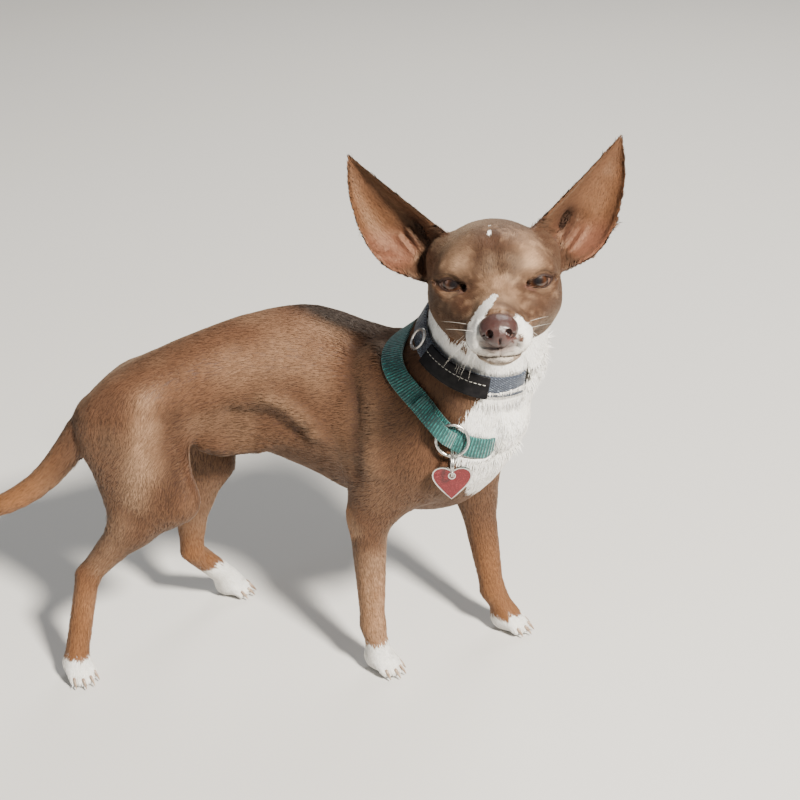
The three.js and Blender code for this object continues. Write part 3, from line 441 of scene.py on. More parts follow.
skinShape = {
    "nodes": ["head", "neck", "torso", "tail", "ear_left", "ear_right", "leg_front_left",
              "leg_front_right", "leg_hind_left", "leg_hind_right"],
    "closeGaps": 0.0003,
    "ballRoom": 1.15,
    "voxel": 0.0010,
    "bodyRounds": 45,
    "headRounds": 5,
    "keptShare": 0.37,
    "coatDepth": 0.0009,
    "faceDepth": 0.0003,
    "noseFrom": 0.0415,
    "noseDepth": 0.0020,
    "neckDepth": 0.0022,
}


# height over the middle of the collar, along its way
def aboveCollar(points):
    collar = bandFrames["collar"]
    return (points - np.array(collar["place"])) @ unit(np.array(collar["way"]))


# a vertex group with its weights in steps of a twentieth
def weightGroup(piece, name, weights):
    group = piece.vertex_groups.new(name=name)
    steps = np.round(np.clip(weights, 0, 1) * 20).astype(int)
    for step in np.unique(steps):
        group.add(np.nonzero(steps == step)[0].tolist(), step / 20, "REPLACE")
    return name


# one closed surface, smoothed most on the trunk and thinned there, with room for the eyeballs
def buildSkin():
    skin = copyOf("skin", *skinShape["nodes"], "nose")
    editWhole(skin, (bpy.ops.transform.shrink_fatten, {"value": skinShape["closeGaps"]}))
    for side in ("left", "right"):
        middle = centreOf(f"eye_{side}")
        radius = (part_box(f"eye_{side}")[1].x - middle.x) * skinShape["ballRoom"]
        bpy.ops.mesh.primitive_uv_sphere_add(segments=32, ring_count=20, radius=radius, location=middle)
        skin = joined([skin, bpy.context.object])
    skin.data.remesh_voxel_size = skinShape["voxel"]
    bpy.ops.object.voxel_remesh()
    points = pointsOf(skin)
    headShare = smoothStep(0.004, 0.014, aboveCollar(points))
    legShare = 1 - smoothStep(0.03, 0.10, points[:, 2])
    body = weightGroup(skin, "body", (1 - headShare) * (1 - 0.6 * legShare))
    applyModifier(skin, "SMOOTH", factor=0.5, iterations=skinShape["bodyRounds"], vertex_group=body)
    applyModifier(skin, "SMOOTH", factor=0.5, iterations=skinShape["headRounds"])
    thinned = weightGroup(skin, "thinned", (1 - headShare) * 0.9 + 0.1)
    applyModifier(skin, "DECIMATE", ratio=skinShape["keptShare"], vertex_group=thinned,
                  vertex_group_factor=1.0)
    skin.vertex_groups.clear()
    return skin


# the face: lids, lips and folds, sculpted in code on the finer mesh there

eyeShape = {
    "turnOut": 14,
    "turnUp": 4,
    "tilt": 8,
    "halfWide": 0.0064,
    "above": 0.0029,
    "below": 0.0024,
    "lid": 0.0010,
    "socket": 0.0045,
    "cornerSink": 0.0007,
    "lidWidth": 0.0040,
    "foldAbove": {"at": 0.0026, "width": 0.0006, "depth": 0.0008},
    "foldBelow": {"at": 0.0022, "width": 0.0006, "depth": 0.0004},
    "bag": {"at": 0.0042, "width": 0.0013, "depth": -0.0004},
}
mouthShape = {
    "middle": -0.0243,
    "corner": -0.0270,
    "cornerSide": 0.0160,
    "back": 0.021,
    "depth": 0.0011,
    "width": 0.0006,
    "lipRoll": 0.0004,
}
# where the mesh is made finer: metres round the lids and the mouth, and shares of a band's radius
fineMesh = {"lids": 0.005, "eye": 0.02, "mouth": 0.0055, "bandHeight": 0.018, "bandRadii": (0.8, 1.8)}

# soft ridges (depth below zero) and hollows of the body, each along a line, in millimetres; the markings also
# paint sheen on the ridges and shade in the hollows
bodyForms = metres({
    "behindShoulder": {"line": [(63.3, 20, 200), (68.7, -2, 175), (69.4, -7, 134)], "width": 5.5,
        "depth": 2.4},
    "shoulderEdge": {"line": [(76, 18, 200), (79, -4, 172), (79, -9, 140)], "width": 6, "depth": -2.1},
    "flankHollow": {"line": [(-1, -8, 160), (8.5, -5, 159), (19.5, -3.5, 158), (34.5, -1, 150)],
        "width": 6.6, "depth": 3.4},
    "lastRib": {"line": [(18.8, -4.3, 172.5), (28.7, -3.3, 170), (37.4, -2.6, 162), (45, -1.3, 150)],
        "width": 4.8, "depth": -2.1},
    "thighFront": {"line": [(-30, -30, 165), (-29, -34, 140), (-33, -33, 118)], "width": 6.5,
        "depth": 1.8},
    "thighRidge": {"line": [(-43, -30, 176), (-45, -37, 150), (-52, -37, 118)], "width": 7.5,
        "depth": -1.5},
    "haunchHollow": {"line": [(-62, -28, 172), (-66, -40, 150)], "width": 8, "depth": 1.4},
    "rightHockCord": {"line": [(-70, -33, 83), (-80, -36, 68)], "width": 3, "depth": 1.4},
    "leftShoulderEdge": {"line": [(78, 62, 190), (80, 70, 160), (86, 70, 130)], "width": 6,
        "depth": -2.1},
    "leftBehindShoulder": {"line": [(66, 60, 190), (68, 70, 160), (72, 70, 125)], "width": 5.5,
        "depth": 2.4},
    "leftFlank": {"line": [(4, 52, 160), (20, 62, 155), (36, 68, 146)], "width": 8.5, "depth": 3.9},
})


# folds of the ears, then forms of the face, in the head's frame with the left side given
earForms = metres({
    "pocket": {"line": [(-24, 60, 15), (-29, 53, 11.8)], "width": 1.2, "depth": 1.5},
    "flap": {"line": [(-23.5, 58, 10), (-29, 50, 6.5)], "width": 2.2, "depth": -1.2},
    "firstRidge": {"line": [(-33.5, 48, 17), (-30, 40, 7)], "width": 1.5, "depth": -1.5},
    "secondRidge": {"line": [(-33.5, 43, 21), (-30, 36, 10)], "width": 1.5, "depth": -1.5},
    "between": {"line": [(-33.8, 45.5, 19), (-30.5, 38, 8.5)], "width": 1, "depth": 1.2},
    "canal": {"line": [(-33, 39.5, 25), (-29, 33, 12)], "width": 2.4, "depth": 2.4},
    "wall": {"line": [(-36, 59, 43), (-34.5, 50, 27)], "width": 5, "depth": -1.4},
})
faceForms = metres({
    "bridge": {"line": [(44, 0, -6), (30, 0, -1), (18, 0, 5)], "width": 3.6, "depth": -0.7},
    "besideBridge": {"line": [(36, 11, -10), (24, 12, -6), (15, 13.5, -2)], "width": 3.6, "depth": 1.2},
    "brow": {"line": [(14, 11, 8.5), (11, 18, 11), (5, 26, 10.5)], "width": 3.6, "depth": -0.6},
    "frown": {"line": [(14, 0, 9.5), (5, 0, 21)], "width": 3.6, "depth": 1.2},
    "underEye": {"line": [(15, 13, -6), (10, 20, -8.5), (1, 28.5, -8)], "width": 2.2, "depth": 0.8},
    "cheekBone": {"line": [(12, 21.5, -12.5), (0, 32, -12)], "width": 5.5, "depth": -0.8},
    "whiskerPad": {"line": [(38, 12, -19), (30, 16.5, -19)], "width": 4.5, "depth": -0.8},
})


headSides = {"left": (1, 1, 1), "right": (1, -1, 1)}


# the forms of ears and face, on the skin that faces forward
def sculptHead(points, normals):
    push = np.zeros(len(points))
    for form in [*earForms.values(), *faceForms.values()]:
        lines = [fromHead(np.array(form["line"]) * side) for side in headSides.values()]
        near = [bellOf(lineDistance(points, line), form["width"]) for line in lines]
        push -= form["depth"] * np.max(near, axis=0)
    facing = smoothStep(0.05, 0.35, normals @ headAxes[0])
    return points + normals * (push * facing)[:, None]


# forward, left and up of an eye that is turned out and up by the degrees of the dictionary
def eyeAxes(side, turned):
    out, upward = math.radians(turned["turnOut"]) * side, math.radians(turned["turnUp"])
    forward = np.array((math.cos(out) * math.cos(upward), math.sin(out) * math.cos(upward), math.sin(upward)))
    left = np.array((-math.sin(out), math.cos(out), 0))
    return np.array((forward, left, np.cross(forward, left))) @ headAxes


def eyeParts():
    for name, side in (("left", 1), ("right", -1)):
        low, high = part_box(f"eye_{name}")
        yield name, side, np.array((low + high) / 2), (high.z - low.z) / 2, eyeAxes(side, eyeShape)


# distance from the rim of the lids, below zero in the opening, with the places in the eye's frame
def fromRim(points, side, centre, axes):
    local = (points - centre) @ axes.T
    tilt = math.radians(eyeShape["tilt"]) * side
    along = local[:, 1] * math.cos(tilt) + local[:, 2] * math.sin(tilt)
    over = local[:, 2] * math.cos(tilt) - local[:, 1] * math.sin(tilt)
    share = 1 - (along / eyeShape["halfWide"]) ** 2
    rim = np.maximum(over - eyeShape["above"] * share, -over - eyeShape["below"] * share)
    beyond = np.hypot(np.maximum(np.abs(along) - eyeShape["halfWide"], 0), over)
    return np.where(share > 0, rim, beyond), along, over, local


# lids laid round each ball, with their folds, and the skin behind the opening sunk
def sculptEyes(points):
    for _, side, centre, radius, axes in eyeParts():
        rim, along, over, local = fromRim(points, side, centre, axes)
        near = (np.linalg.norm(local, axis=1) < radius * 2) & (local[:, 0] > 0)
        ball = np.sqrt(np.maximum(radius ** 2 - local[:, 1] ** 2 - local[:, 2] ** 2, (radius * 0.35) ** 2))
        edge = ball + eyeShape["lid"]
        for name, upper in (("foldAbove", True), ("foldBelow", False), ("bag", False)):
            fold = eyeShape[name]
            reach = bellOf(rim - fold["at"], fold["width"])
            reach *= smoothStep(1.15, 0.75, np.abs(along) / eyeShape["halfWide"])
            local[:, 0] -= near * ((over > 0) == upper) * fold["depth"] * reach
        share = smoothStep(eyeShape["lidWidth"], 0.0005, rim)
        inside = np.clip(1 - (along / eyeShape["halfWide"]) ** 2, 0, 1)
        sunk = ball - eyeShape["socket"]
        sunk += (edge - eyeShape["cornerSink"] - sunk) * smoothStep(0.42, 0.22, inside)
        moved = np.where(rim < 0, sunk, local[:, 0] + (edge - local[:, 0]) * share)
        change = np.where(near, moved - local[:, 0], 0)
        local[:, 0] += change
        points = np.where(near[:, None], centre + local @ axes, points)
    return points


# height over the line of the mouth
def fromMouth(inHead):
    side = np.clip(np.abs(inHead[:, 1]) / mouthShape["cornerSide"], 0, 1)
    level = mouthShape["middle"] + (mouthShape["corner"] - mouthShape["middle"]) * side
    return inHead[:, 2] - level


def sculptMouth(points, normals):
    inHead = toHead(points)
    off = fromMouth(inHead)
    front = smoothStep(mouthShape["back"] - 0.004, mouthShape["back"] + 0.003, inHead[:, 0])
    push = -mouthShape["depth"] * bellOf(off, mouthShape["width"])
    push += mouthShape["lipRoll"] * (bellOf(off - 0.0020, 0.0013) + 0.8 * bellOf(off + 0.0019, 0.0011))
    middle = smoothStep(0.040, 0.044, inHead[:, 0]) * (off > 0)
    push -= 0.0005 * bellOf(inHead[:, 1], 0.0006) * middle
    return points + normals * (push * front)[:, None]


# the loose skin between belly and thigh: each place of it with how far it hangs down, in millimetres
flankFolds = metres({
    "right": {"places": [((-17, -5, 143), 8.5), ((-11, 0, 141), 11), ((-1, 3.5, 139), 8),
        ((9, 5.5, 137), 4.5)], "way": (0.05, -0.4, -0.91)},
    "left": {"places": [((-14, 35, 138), 6), ((-3, 38, 137), 5)], "way": (0.05, 0.3, -0.94)},
})
foldReach = 0.0075


# the forms of the body along its normals, then the loose skin of the flanks
def sculptBody(points, normals):
    push = np.zeros(len(points))
    for form in bodyForms.values():
        push -= form["depth"] * bellOf(lineDistance(points, form["line"]), form["width"])
    hung = np.zeros((len(points), 3))
    for fold in flankFolds.values():
        far = [np.linalg.norm(points - place, axis=1) for place, _ in fold["places"]]
        near = bellOf(np.array(far), foldReach)
        falls = np.array([fall for _, fall in fold["places"]])
        fallen = (near * falls[:, None]).sum(axis=0) / np.maximum(near.sum(axis=0), 1)
        hung += fallen[:, None] * unit(np.array(fold["way"]))
    return points + normals * push[:, None] + hung


# halves the faces round the lids, along the mouth and where skin hangs over the bands
def refineSkin(piece):
    makeActive(piece)
    bpy.ops.object.mode_set(mode="EDIT")
    bpy.ops.mesh.select_all(action="DESELECT")
    mesh = bmesh.from_edit_mesh(piece.data)
    centres = np.array([face.calc_center_median() for face in mesh.faces])
    chosen = np.zeros(len(centres), bool)
    for _, side, centre, radius, axes in eyeParts():
        rim, _, _, local = fromRim(centres, side, centre, axes)
        near = (local[:, 0] > 0) & (np.linalg.norm(local, axis=1) < fineMesh["eye"])
        chosen |= near & (rim < fineMesh["lids"])
    inHead = toHead(centres)
    chosen |= (np.abs(fromMouth(inHead)) < fineMesh["mouth"]) & (inHead[:, 0] > mouthShape["back"] - 0.005)
    for band in bandFrames.values():
        angle, height, radius, _ = aroundBand(centres, band)
        least, most = (band["radius"] * share for share in fineMesh["bandRadii"])
        near = (np.abs(height) < fineMesh["bandHeight"]) & (radius > least) & (radius < most)
        chosen |= near & (angle > band["partly"] - 5) & (angle < band["until"])
    for face, pick in zip(mesh.faces, chosen):
        face.select_set(bool(pick))
    bmesh.update_edit_mesh(piece.data)
    bpy.ops.mesh.subdivide(number_cuts=1, smoothness=0.4)
    bpy.ops.mesh.select_all(action="SELECT")
    bpy.ops.mesh.quads_convert_to_tris()
    bpy.ops.object.mode_set(mode="OBJECT")


# the skin lies inside the solids by the depth of the coat
def insetByCoat(points, normals):
    inHead = toHead(points)
    depth = np.full(len(points), skinShape["coatDepth"])
    face = (aboveCollar(points) > 0.01) * smoothStep(-0.02, 0.0, inHead[:, 0])
    depth += (skinShape["faceDepth"] - depth) * face
    depth += (skinShape["neckDepth"] - depth) * bellOf(aboveCollar(points) - 0.01, 0.02) * (1 - face)
    low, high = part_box("nose")
    inNose = ((points > np.array(low) - 0.0005) & (points < np.array(high) + 0.0005)).all(axis=1)
    depth = np.where(inNose & (inHead[:, 0] > skinShape["noseFrom"]), skinShape["noseDepth"], depth)
    return points - normals * depth[:, None]


skin = buildSkin()
refineSkin(skin)
setPoints(skin, hangOver(pointsOf(skin)))
setPoints(skin, sculptBody(pointsOf(skin), normalsOf(skin)))
setPoints(skin, sculptHead(pointsOf(skin), normalsOf(skin)))
setPoints(skin, sculptMouth(pointsOf(skin), normalsOf(skin)))
setPoints(skin, insetByCoat(pointsOf(skin), normalsOf(skin)))
setPoints(skin, sculptEyes(pointsOf(skin)))
print("skin", len(skin.data.polygons), "faces")


# the markings, with painted shade and sheen among them, shared by the skin and the coat: colours in linear
# light, places in millimetres

# lighter and darker patches of the body, with a soft edge: tone, share, and a spot in millimetres. Some are
# painted light, marked below; the rust and gold at the elbow and the gold down the foreleg, over the hock and
# on the upper foreleg lighten the coat there
bodyShadeAndTones = [
    ("rust", 0.9, {"from": (61.6, -3.1, 103), "to": (65, -5, 93), "radii": (6, 4), "soft": 3}),
    ("goldAndSheen", 0.5, {"from": (62.5, -4.5, 102), "to": (68, -9, 97), "radii": (5, 4), "soft": 4}),
    ("goldAndSheen", 0.52, {"from": (77.5, -7, 75), "to": (80, -11, 28), "radii": (9, 10), "soft": 6}),
    # painted shade in the crease before the right thigh
    ("darkBrownAndShade", 0.6, {"from": (-26.5, -22.6, 166), "to": (-25.3, -28, 128.2), "radii": (7.5, 6.5),
                        "soft": 6}),
    # painted sheen on the upper flank, and next along the thigh's ridge
    ("goldAndSheen", 0.3, {"from": (45, 0, 196), "to": (5, -6, 190), "radii": (10, 10), "soft": 12}),
    ("goldAndSheen", 0.3, {"from": (-43, -30, 160), "to": (-52, -37, 118), "radii": (8, 6), "soft": 7}),
    ("goldAndSheen", 0.36, {"from": (-60, -32, 100), "to": (-75, -36, 72), "radii": (7, 6), "soft": 6}),
    ("goldAndSheen", 0.22, {"from": (90, 0, 150), "to": (84, -6, 120), "radii": (8, 7), "soft": 7}),
    # painted shade under the belly
    ("darkBrownAndShade", 0.42, {"from": (60, 10, 104), "to": (10, 10, 122), "radii": (10, 10), "soft": 10}),
    # painted shadow of the head on the neck below the collar
    ("darkBrownAndShade", 0.72, {"from": (122, -12, 190), "to": (126, -14, 168), "radii": (14, 12), "soft": 9}),
]
# the gold tone also paints sheen, and the dark brown also paints shade; the cream also greys the chin as
# painted shade, and the deepest ear colour is painted shade in the ear canal
coatColours = {
    "brown": (0.096, 0.044, 0.024),
    "darkBrownAndShade": (0.036, 0.016, 0.010),
    "goldAndSheen": (0.41, 0.255, 0.155),
    "rust": (0.30, 0.125, 0.047),
    "white": (0.93, 0.91, 0.85),
    "creamAndShade": (0.34, 0.27, 0.21),
    "innerEar": (0.120, 0.052, 0.025),
    "earPink": (0.165, 0.064, 0.040),
    "earCanalShade": (0.032, 0.013, 0.009),
    "pinkSkin": (0.30, 0.13, 0.10),
    "noseSkin": (0.10, 0.05, 0.042),
    "rim": (0.030, 0.014, 0.010),
}

# the white of the muzzle, in the head's frame: round ended spots from one point to another
muzzleSpots = metres([
    {"from": (27.5, -2.2, -0.8), "to": (34, -6.2, -4), "radii": (2, 5)},
    {"from": (34, -6.2, -4), "to": (40, -10.8, -10.5), "radii": (5, 5.6)},
    {"from": (40, -10.8, -10.5), "to": (42, -8.8, -18.5), "radii": (5.6, 6.6)},
    {"from": (42, -8.8, -18.5), "to": (44, 0, -22.5), "radii": (6.6, 5.8)},
    {"from": (44, 0, -22.5), "to": (39.5, 11.2, -18.5), "radii": (5.8, 7)},
    {"from": (39.5, 11.2, -18.5), "to": (41.5, 10, -11.5), "radii": (7, 5.4)},
    {"from": (36, 0, -34), "to": (0, 0, -44), "radii": (10.5, 19)},
    {"from": (-9.5, -1.8, 27), "to": (3.5, -1.8, 24), "radii": (0.4, 0.8)},
])

whiteParts = {
    "neckAxis": ((0.10645, 0.02828, 0.168), (0.13345, 0.02728, 0.204), (0.13945, 0.01828, 0.240)),
    "throatHeading": -79,
    "throatHalf": 102,
    "chestHeading": -25,
    "chestHalf": 40,
    "chestLow": 0.122,
    "breastEdge": 0.040,
    "breastHigh": 0.150,
    "chestPlace": (0.1335, -0.0050, 0.140),
    "chestWay": (0.80, 0.52, 0.30),
    "paws": {"claw_front_right_3": 0.021, "claw_front_left_3": 0.0125,
             "claw_hind_right_3": 0.0165, "claw_hind_left_3": 0.030},
    "pawReach": 0.05,
}


# smooth value noise in plain arrays, the same on every run
def wander(points, size, seed=0):
    scaled = points / size + 37.7 * seed + 100
    cell = np.floor(scaled).astype(np.int64)
    part = scaled - cell
    part = part * part * (3 - 2 * part)
    total = np.zeros(len(points))
    for corner in range(8):
        offset = np.array([corner & 1, corner >> 1 & 1, corner >> 2])
        at = cell + offset
        mixed = (at[:, 0] * 73856093) ^ (at[:, 1] * 19349663) ^ (at[:, 2] * 83492791) ^ (seed * 2654435761)
        mixed = (mixed ^ (mixed >> 13)) * 1274126177
        value = ((mixed ^ (mixed >> 16)) & 0xffff) / 65535
        total += value * np.prod(np.where(offset, part, 1 - part), axis=1)
    return total * 2 - 1


# degrees from a heading, as seen from the axis of the neck
def headingOff(points, heading):
    line = np.array(whiteParts["neckAxis"])
    x = np.interp(points[:, 2], line[:, 2], line[:, 0])
    y = np.interp(points[:, 2], line[:, 2], line[:, 1])
    angle = np.degrees(np.arctan2(points[:, 1] - y, points[:, 0] - x)) - heading
    return np.abs((angle + 180) % 360 - 180)


# 1 where the coat is white
def whiteness(points, onHead):
    ragged = 0.0011 * wander(points, 0.004, 1) + 0.0010 * wander(points, 0.0013, 2)
    inHead = toHead(points)
    spots = np.min([spotDistance(inHead, spot) for spot in muzzleSpots], axis=0)
    white = onHead * (spots + ragged < 0)
    ragDegrees = ragged * 3000
    throat = (aboveCollar(points) > 0) & (
        headingOff(points, whiteParts["throatHeading"]) + ragDegrees < whiteParts["throatHalf"])
    cheek = spotDistance(inHead, faceMarks["cheek"]) + ragged < 0
    white = np.maximum(white, (1 - onHead) * throat * ~cheek)
    below = (aboveCollar(points) <= 0) & (points[:, 0] > 0.10)
    chest = below & (points[:, 2] > whiteParts["breastHigh"]) & (
        headingOff(points, whiteParts["chestHeading"]) + ragDegrees < whiteParts["chestHalf"])
    place, way = np.array(whiteParts["chestPlace"]), unit(np.array(whiteParts["chestWay"]))
    breast = below & (points[:, 2] <= whiteParts["breastHigh"])
    breast &= (points[:, 2] > whiteParts["chestLow"] + ragged) & ((points - place) @ way + ragged > -0.004)
    breast &= points[:, 1] + 2 * ragged < whiteParts["breastEdge"]
    white = np.maximum(white, (1 - onHead) * (chest | breast))
    for claw, high in whiteParts["paws"].items():
        paw = np.array(centreOf(claw))
        near = np.linalg.norm(points[:, :2] - paw[:2], axis=1) < whiteParts["pawReach"]
        white = np.maximum(white, near & (points[:, 2] + 2 * ragged < high))
    return white


# how far each point is from the rims of the lids and from the inner corners of the eyes
def lidDistance(points):
    nearest = np.full(len(points), 1.0)
    corner = np.full(len(points), 1.0)
    for _, side, centre, radius, axes in eyeParts():
        rim, _, over, local = fromRim(points, side, centre, axes)
        outside = (local[:, 0] < 0) | (np.linalg.norm(local, axis=1) > radius * 2)
        nearest = np.minimum(nearest, np.where(outside, 1.0, rim - 0.0004 * (over > 0)))
        inner = np.array((0, -side * faceMarks["innerCorner"][0], faceMarks["innerCorner"][1]))
        corner = np.minimum(corner, np.where(outside, 1.0, np.linalg.norm((local - inner)[:, 1:], axis=1)))
    return nearest, corner


# how far each point is from the line of the mouth
def lipDistance(points):
    inHead = toHead(points)
    behind = inHead[:, 0] < mouthShape["back"] - 0.001
    return np.where(behind | (aboveCollar(points) < 0), 1.0, np.abs(fromMouth(inHead)))


# the rim of the nose leather, as points round it
def nosePlaces():
    places = toHead(pointsOf(nodes["nose"]))
    rim = places[places[:, 0] < places[:, 0].max() - 0.004]
    around = np.arctan2(rim[:, 2] - rim[:, 2].mean(), rim[:, 1])
    turns = np.linspace(-math.pi, math.pi, 19)
    return fromHead(np.array([rim[np.argmin(np.abs(around - turn))] for turn in turns[:-1]]))


# where tufts may grow: not on the rims of lids and lips, nor in the nose leather
def growing(points):
    lids = lidDistance(points)[0]
    leather = toHead(pointsOf(nodes["nose"]))
    low, high = leather.min(axis=0), leather.max(axis=0)
    off = 2 * (toHead(points) - (low + high) / 2) / (high - low)
    inNose = (off[:, 0] > -0.9) & (off[:, 1] ** 2 + off[:, 2] ** 2 < 0.9)
    return ~inNose & (lids > faceMarks["bareLid"]) & (lipDistance(points) > faceMarks["bareLip"])


faceMarks = metres({
    "speckled": 6.2,
    "underNose": (48, 0, -17),
    "bareLid": 0.9,
    "bareLip": 0.4,
    "lidRim": 1.3,
    "lipRim": 0.8,
    "innerCorner": (8.8, -2.2),
    "cheek": {"from": (-20, -27, -30), "to": (-21, -18.5, -40), "radii": (12.5, 4.5)},
    "frown": {"from": (11.5, -4, 13.5), "to": (12, 6, 13), "radii": (7, 7)},
})
# soft spots on both sides of the face: tone, share, and place and width in millimetres. The gold spots are
# painted sheen on the bridge, brows, forehead and under the eyes; the dark spots are painted shade on the
# cheeks, under the eyes and beside them
faceShadeAndTones = [
    ("goldAndSheen", 0.5, (40, 1.5, -1.5), 2.8),
    ("goldAndSheen", 0.62, (9.5, 17, 12.5), 6.2),
    ("goldAndSheen", 0.25, (1, 17, 20.5), 8),
    ("goldAndSheen", 0.52, (20, 0, 4), 6),
    ("goldAndSheen", 0.62, (28, 5, 1), 6),
    ("goldAndSheen", 0.25, (12, 20, -6), 5),
    ("darkBrownAndShade", 0.6, (8, 30, -18), 12),
    ("darkBrownAndShade", 0.35, (20, 19, -11), 8),
    ("darkBrownAndShade", 0.55, (13, 21, 4.5), 3),
    ("darkBrownAndShade", 0.3, (-10, 33, 5), 12),
]
# where each shade of the markings and each change of the tufts' size begins and is full, in millimetres
fades = metres({
    "tail": (-88, -120), "lowLegs": (85, 45), "frost": (-30, 0), "earPink": (26, 12), "earRim": (17, 6),
    "frown": (3, -4), "chinHeight": (-21.5, -25), "chinFront": (20, 30), "underNose": (8, 3.5),
    "tearDuct": (4, 1.2), "ductRim": (3, 1), "face": (35, 0), "underJaw": (10, 16), "paws": (30, 12),
    "besideNose": (4, 1.5),
})


def fade(name, values):
    return smoothStep(*fades[name], values)


# the colour of the coat at each point, painted shade and sheen included, laid on from the ground colour to
# the rims of lids and lips
def markingsAndPaintedLight(points, onHead, inEar):
    base = np.tile(coatColours["brown"], (len(points), 1))

    def lay(tone, share):
        nonlocal base
        base = base + (np.array(coatColours[tone]) - base) * share[:, None]

    inHead = toHead(points)
    lay("darkBrownAndShade", 0.35 * np.clip(wander(points, 0.03, 3) + 0.2, 0, 1))
    lay("goldAndSheen", 0.30 * np.clip(wander(points, 0.022, 4), 0, 1))
    tail = fade("tail", points[:, 0])
    lay("rust", 0.75 * tail)
    lay("rust", 0.45 * (fade("lowLegs", points[:, 2]) * (1 - tail)))
    patchBreakup = 0.8 + 0.4 * wander(points, 0.002, 6)
    # the body's forms painted: painted shade darkens the hollows, painted sheen in gold lightens the ridges
    for form in bodyForms.values():
        near = bellOf(lineDistance(points, form["line"]), form["width"]) * patchBreakup
        tone, most = ("darkBrownAndShade", 0.62) if form["depth"] > 0 else ("goldAndSheen", 0.34)
        lay(tone, np.clip(near * most * (1 - onHead), 0, 1))
    for tone, share, spot in bodyShadeAndTones:
        spot = metres(spot)
        near = smoothStep(spot["soft"], -spot["soft"], spotDistance(points, spot)) * patchBreakup
        lay(tone, np.clip(near * share * (1 - onHead), 0, 1))
    lay("darkBrownAndShade", 0.66 * onHead * (1 - inEar))
    frost = wander(points, 0.0024, 9) + 0.6 * wander(points, 0.0060, 10)
    frost *= fade("frost", inHead[:, 0])
    lay("goldAndSheen", 0.34 * onHead * (1 - inEar) * np.clip(frost, 0, 1))
    lay("darkBrownAndShade", 0.45 * onHead * (1 - inEar) * np.clip(-frost, 0, 1))
    lay("innerEar", inEar)
    lay("earPink", 0.8 * inEar * fade("earPink", inHead[:, 2]))
    for side, mirror in headSides.items():
        # brown along the ear's front edge: darker fur there, and painted shade cast by the edge
        rim = lineDistance(inHead, earLines[side][0])
        lay("brown", 0.75 * inEar * fade("earRim", rim))
        # painted shade deep in the ear canal
        canal = np.array(earForms["canal"]["line"]) * mirror
        lay("earCanalShade", inEar * bellOf(lineDistance(inHead, canal), 0.007))
    for tone, share, place, wide in faceShadeAndTones:
        spread = [np.linalg.norm(half - metres(place), axis=1) for half in (inHead, inHead * (1, -1, 1))]
        lay(tone, share * onHead * bellOf(np.min(spread, axis=0), metres(wide)))
    lay("darkBrownAndShade", 0.85 * onHead * fade("frown", spotDistance(inHead, faceMarks["frown"])))
    lay("white", whiteness(points, onHead).astype(float))
    lids, corner = lidDistance(points)
    nearLip = onHead * smoothStep(faceMarks["speckled"], faceMarks["speckled"] * 0.4, lipDistance(points))
    lay("creamAndShade", 0.25 * nearLip)
    # the white chin greyed with cream: painted shade under the jaw, then dark speckles
    chin = onHead * fade("chinHeight", inHead[:, 2]) * fade("chinFront", inHead[:, 0])
    lay("creamAndShade", 0.62 * chin)
    lay("darkBrownAndShade", 0.30 * chin * smoothStep(0.1, 0.4, wander(points, 0.0016, 8)))
    lay("darkBrownAndShade", 0.40 * nearLip * smoothStep(0.05, 0.35, wander(points, 0.0009, 7)))
    # the brown of the upper lip under the nose, with the nose's painted shadow
    underNose = np.linalg.norm((inHead - faceMarks["underNose"]) * (0.6, 0.55, 1.0), axis=1)
    lay("noseSkin", 0.85 * onHead * fade("underNose", underNose))
    lay("pinkSkin", 0.35 * onHead * fade("tearDuct", corner))
    lay("rim", onHead * smoothStep(faceMarks["lidRim"], faceMarks["lidRim"] * 0.5, lids))
    lay("noseSkin", 0.75 * onHead * fade("ductRim", corner))
    lips = smoothStep(faceMarks["lipRim"], faceMarks["lipRim"] * 0.4, lipDistance(points))
    lay("rim", onHead * lips)
    return base


# the way the coat lies: the hair follows these lines in millimetres, those of the head in its own frame

headLines = metres({
    "bridge": [(46, 0, -6), (28, 0, 1), (14, 0, 10), (6, 0, 20), (-12, 0, 27), (-35, 0, 22), (-50, 0, 0)],
    "chin": [(42, 0, -30), (10, 0, -36), (-20, 0, -45)],
})
pairedHeadLines = metres({
    "muzzleSide": [(45, 9, -16), (26, 16, -12), (10, 30, -12), (-15, 36, -10), (-35, 30, -12)],
    "lip": [(44, 6, -24), (22, 18, -24), (-5, 28, -26), (-30, 22, -30)],
    "brow": [(16, 9, 4), (11, 18, 10), (2, 28, 12), (-18, 34, 12)],
    "temple": [(10, 10, 14), (-2, 22, 22), (-22, 28, 20)],
    "underEye": [(14, 13, -1), (8, 22, -6), (-4, 33, -4), (-20, 36, 0)],
})
earLines = metres({
    "right": [[(-24, -23, 22), (-36, -71, 61)], [(-26, -36, 4), (-36, -62, 34), (-36, -71, 61)]],
    "left": [[(-24, 20, 23), (-36, 66, 65)], [(-26, 34, 4), (-36, 58, 36), (-36, 66, 65)]],
})
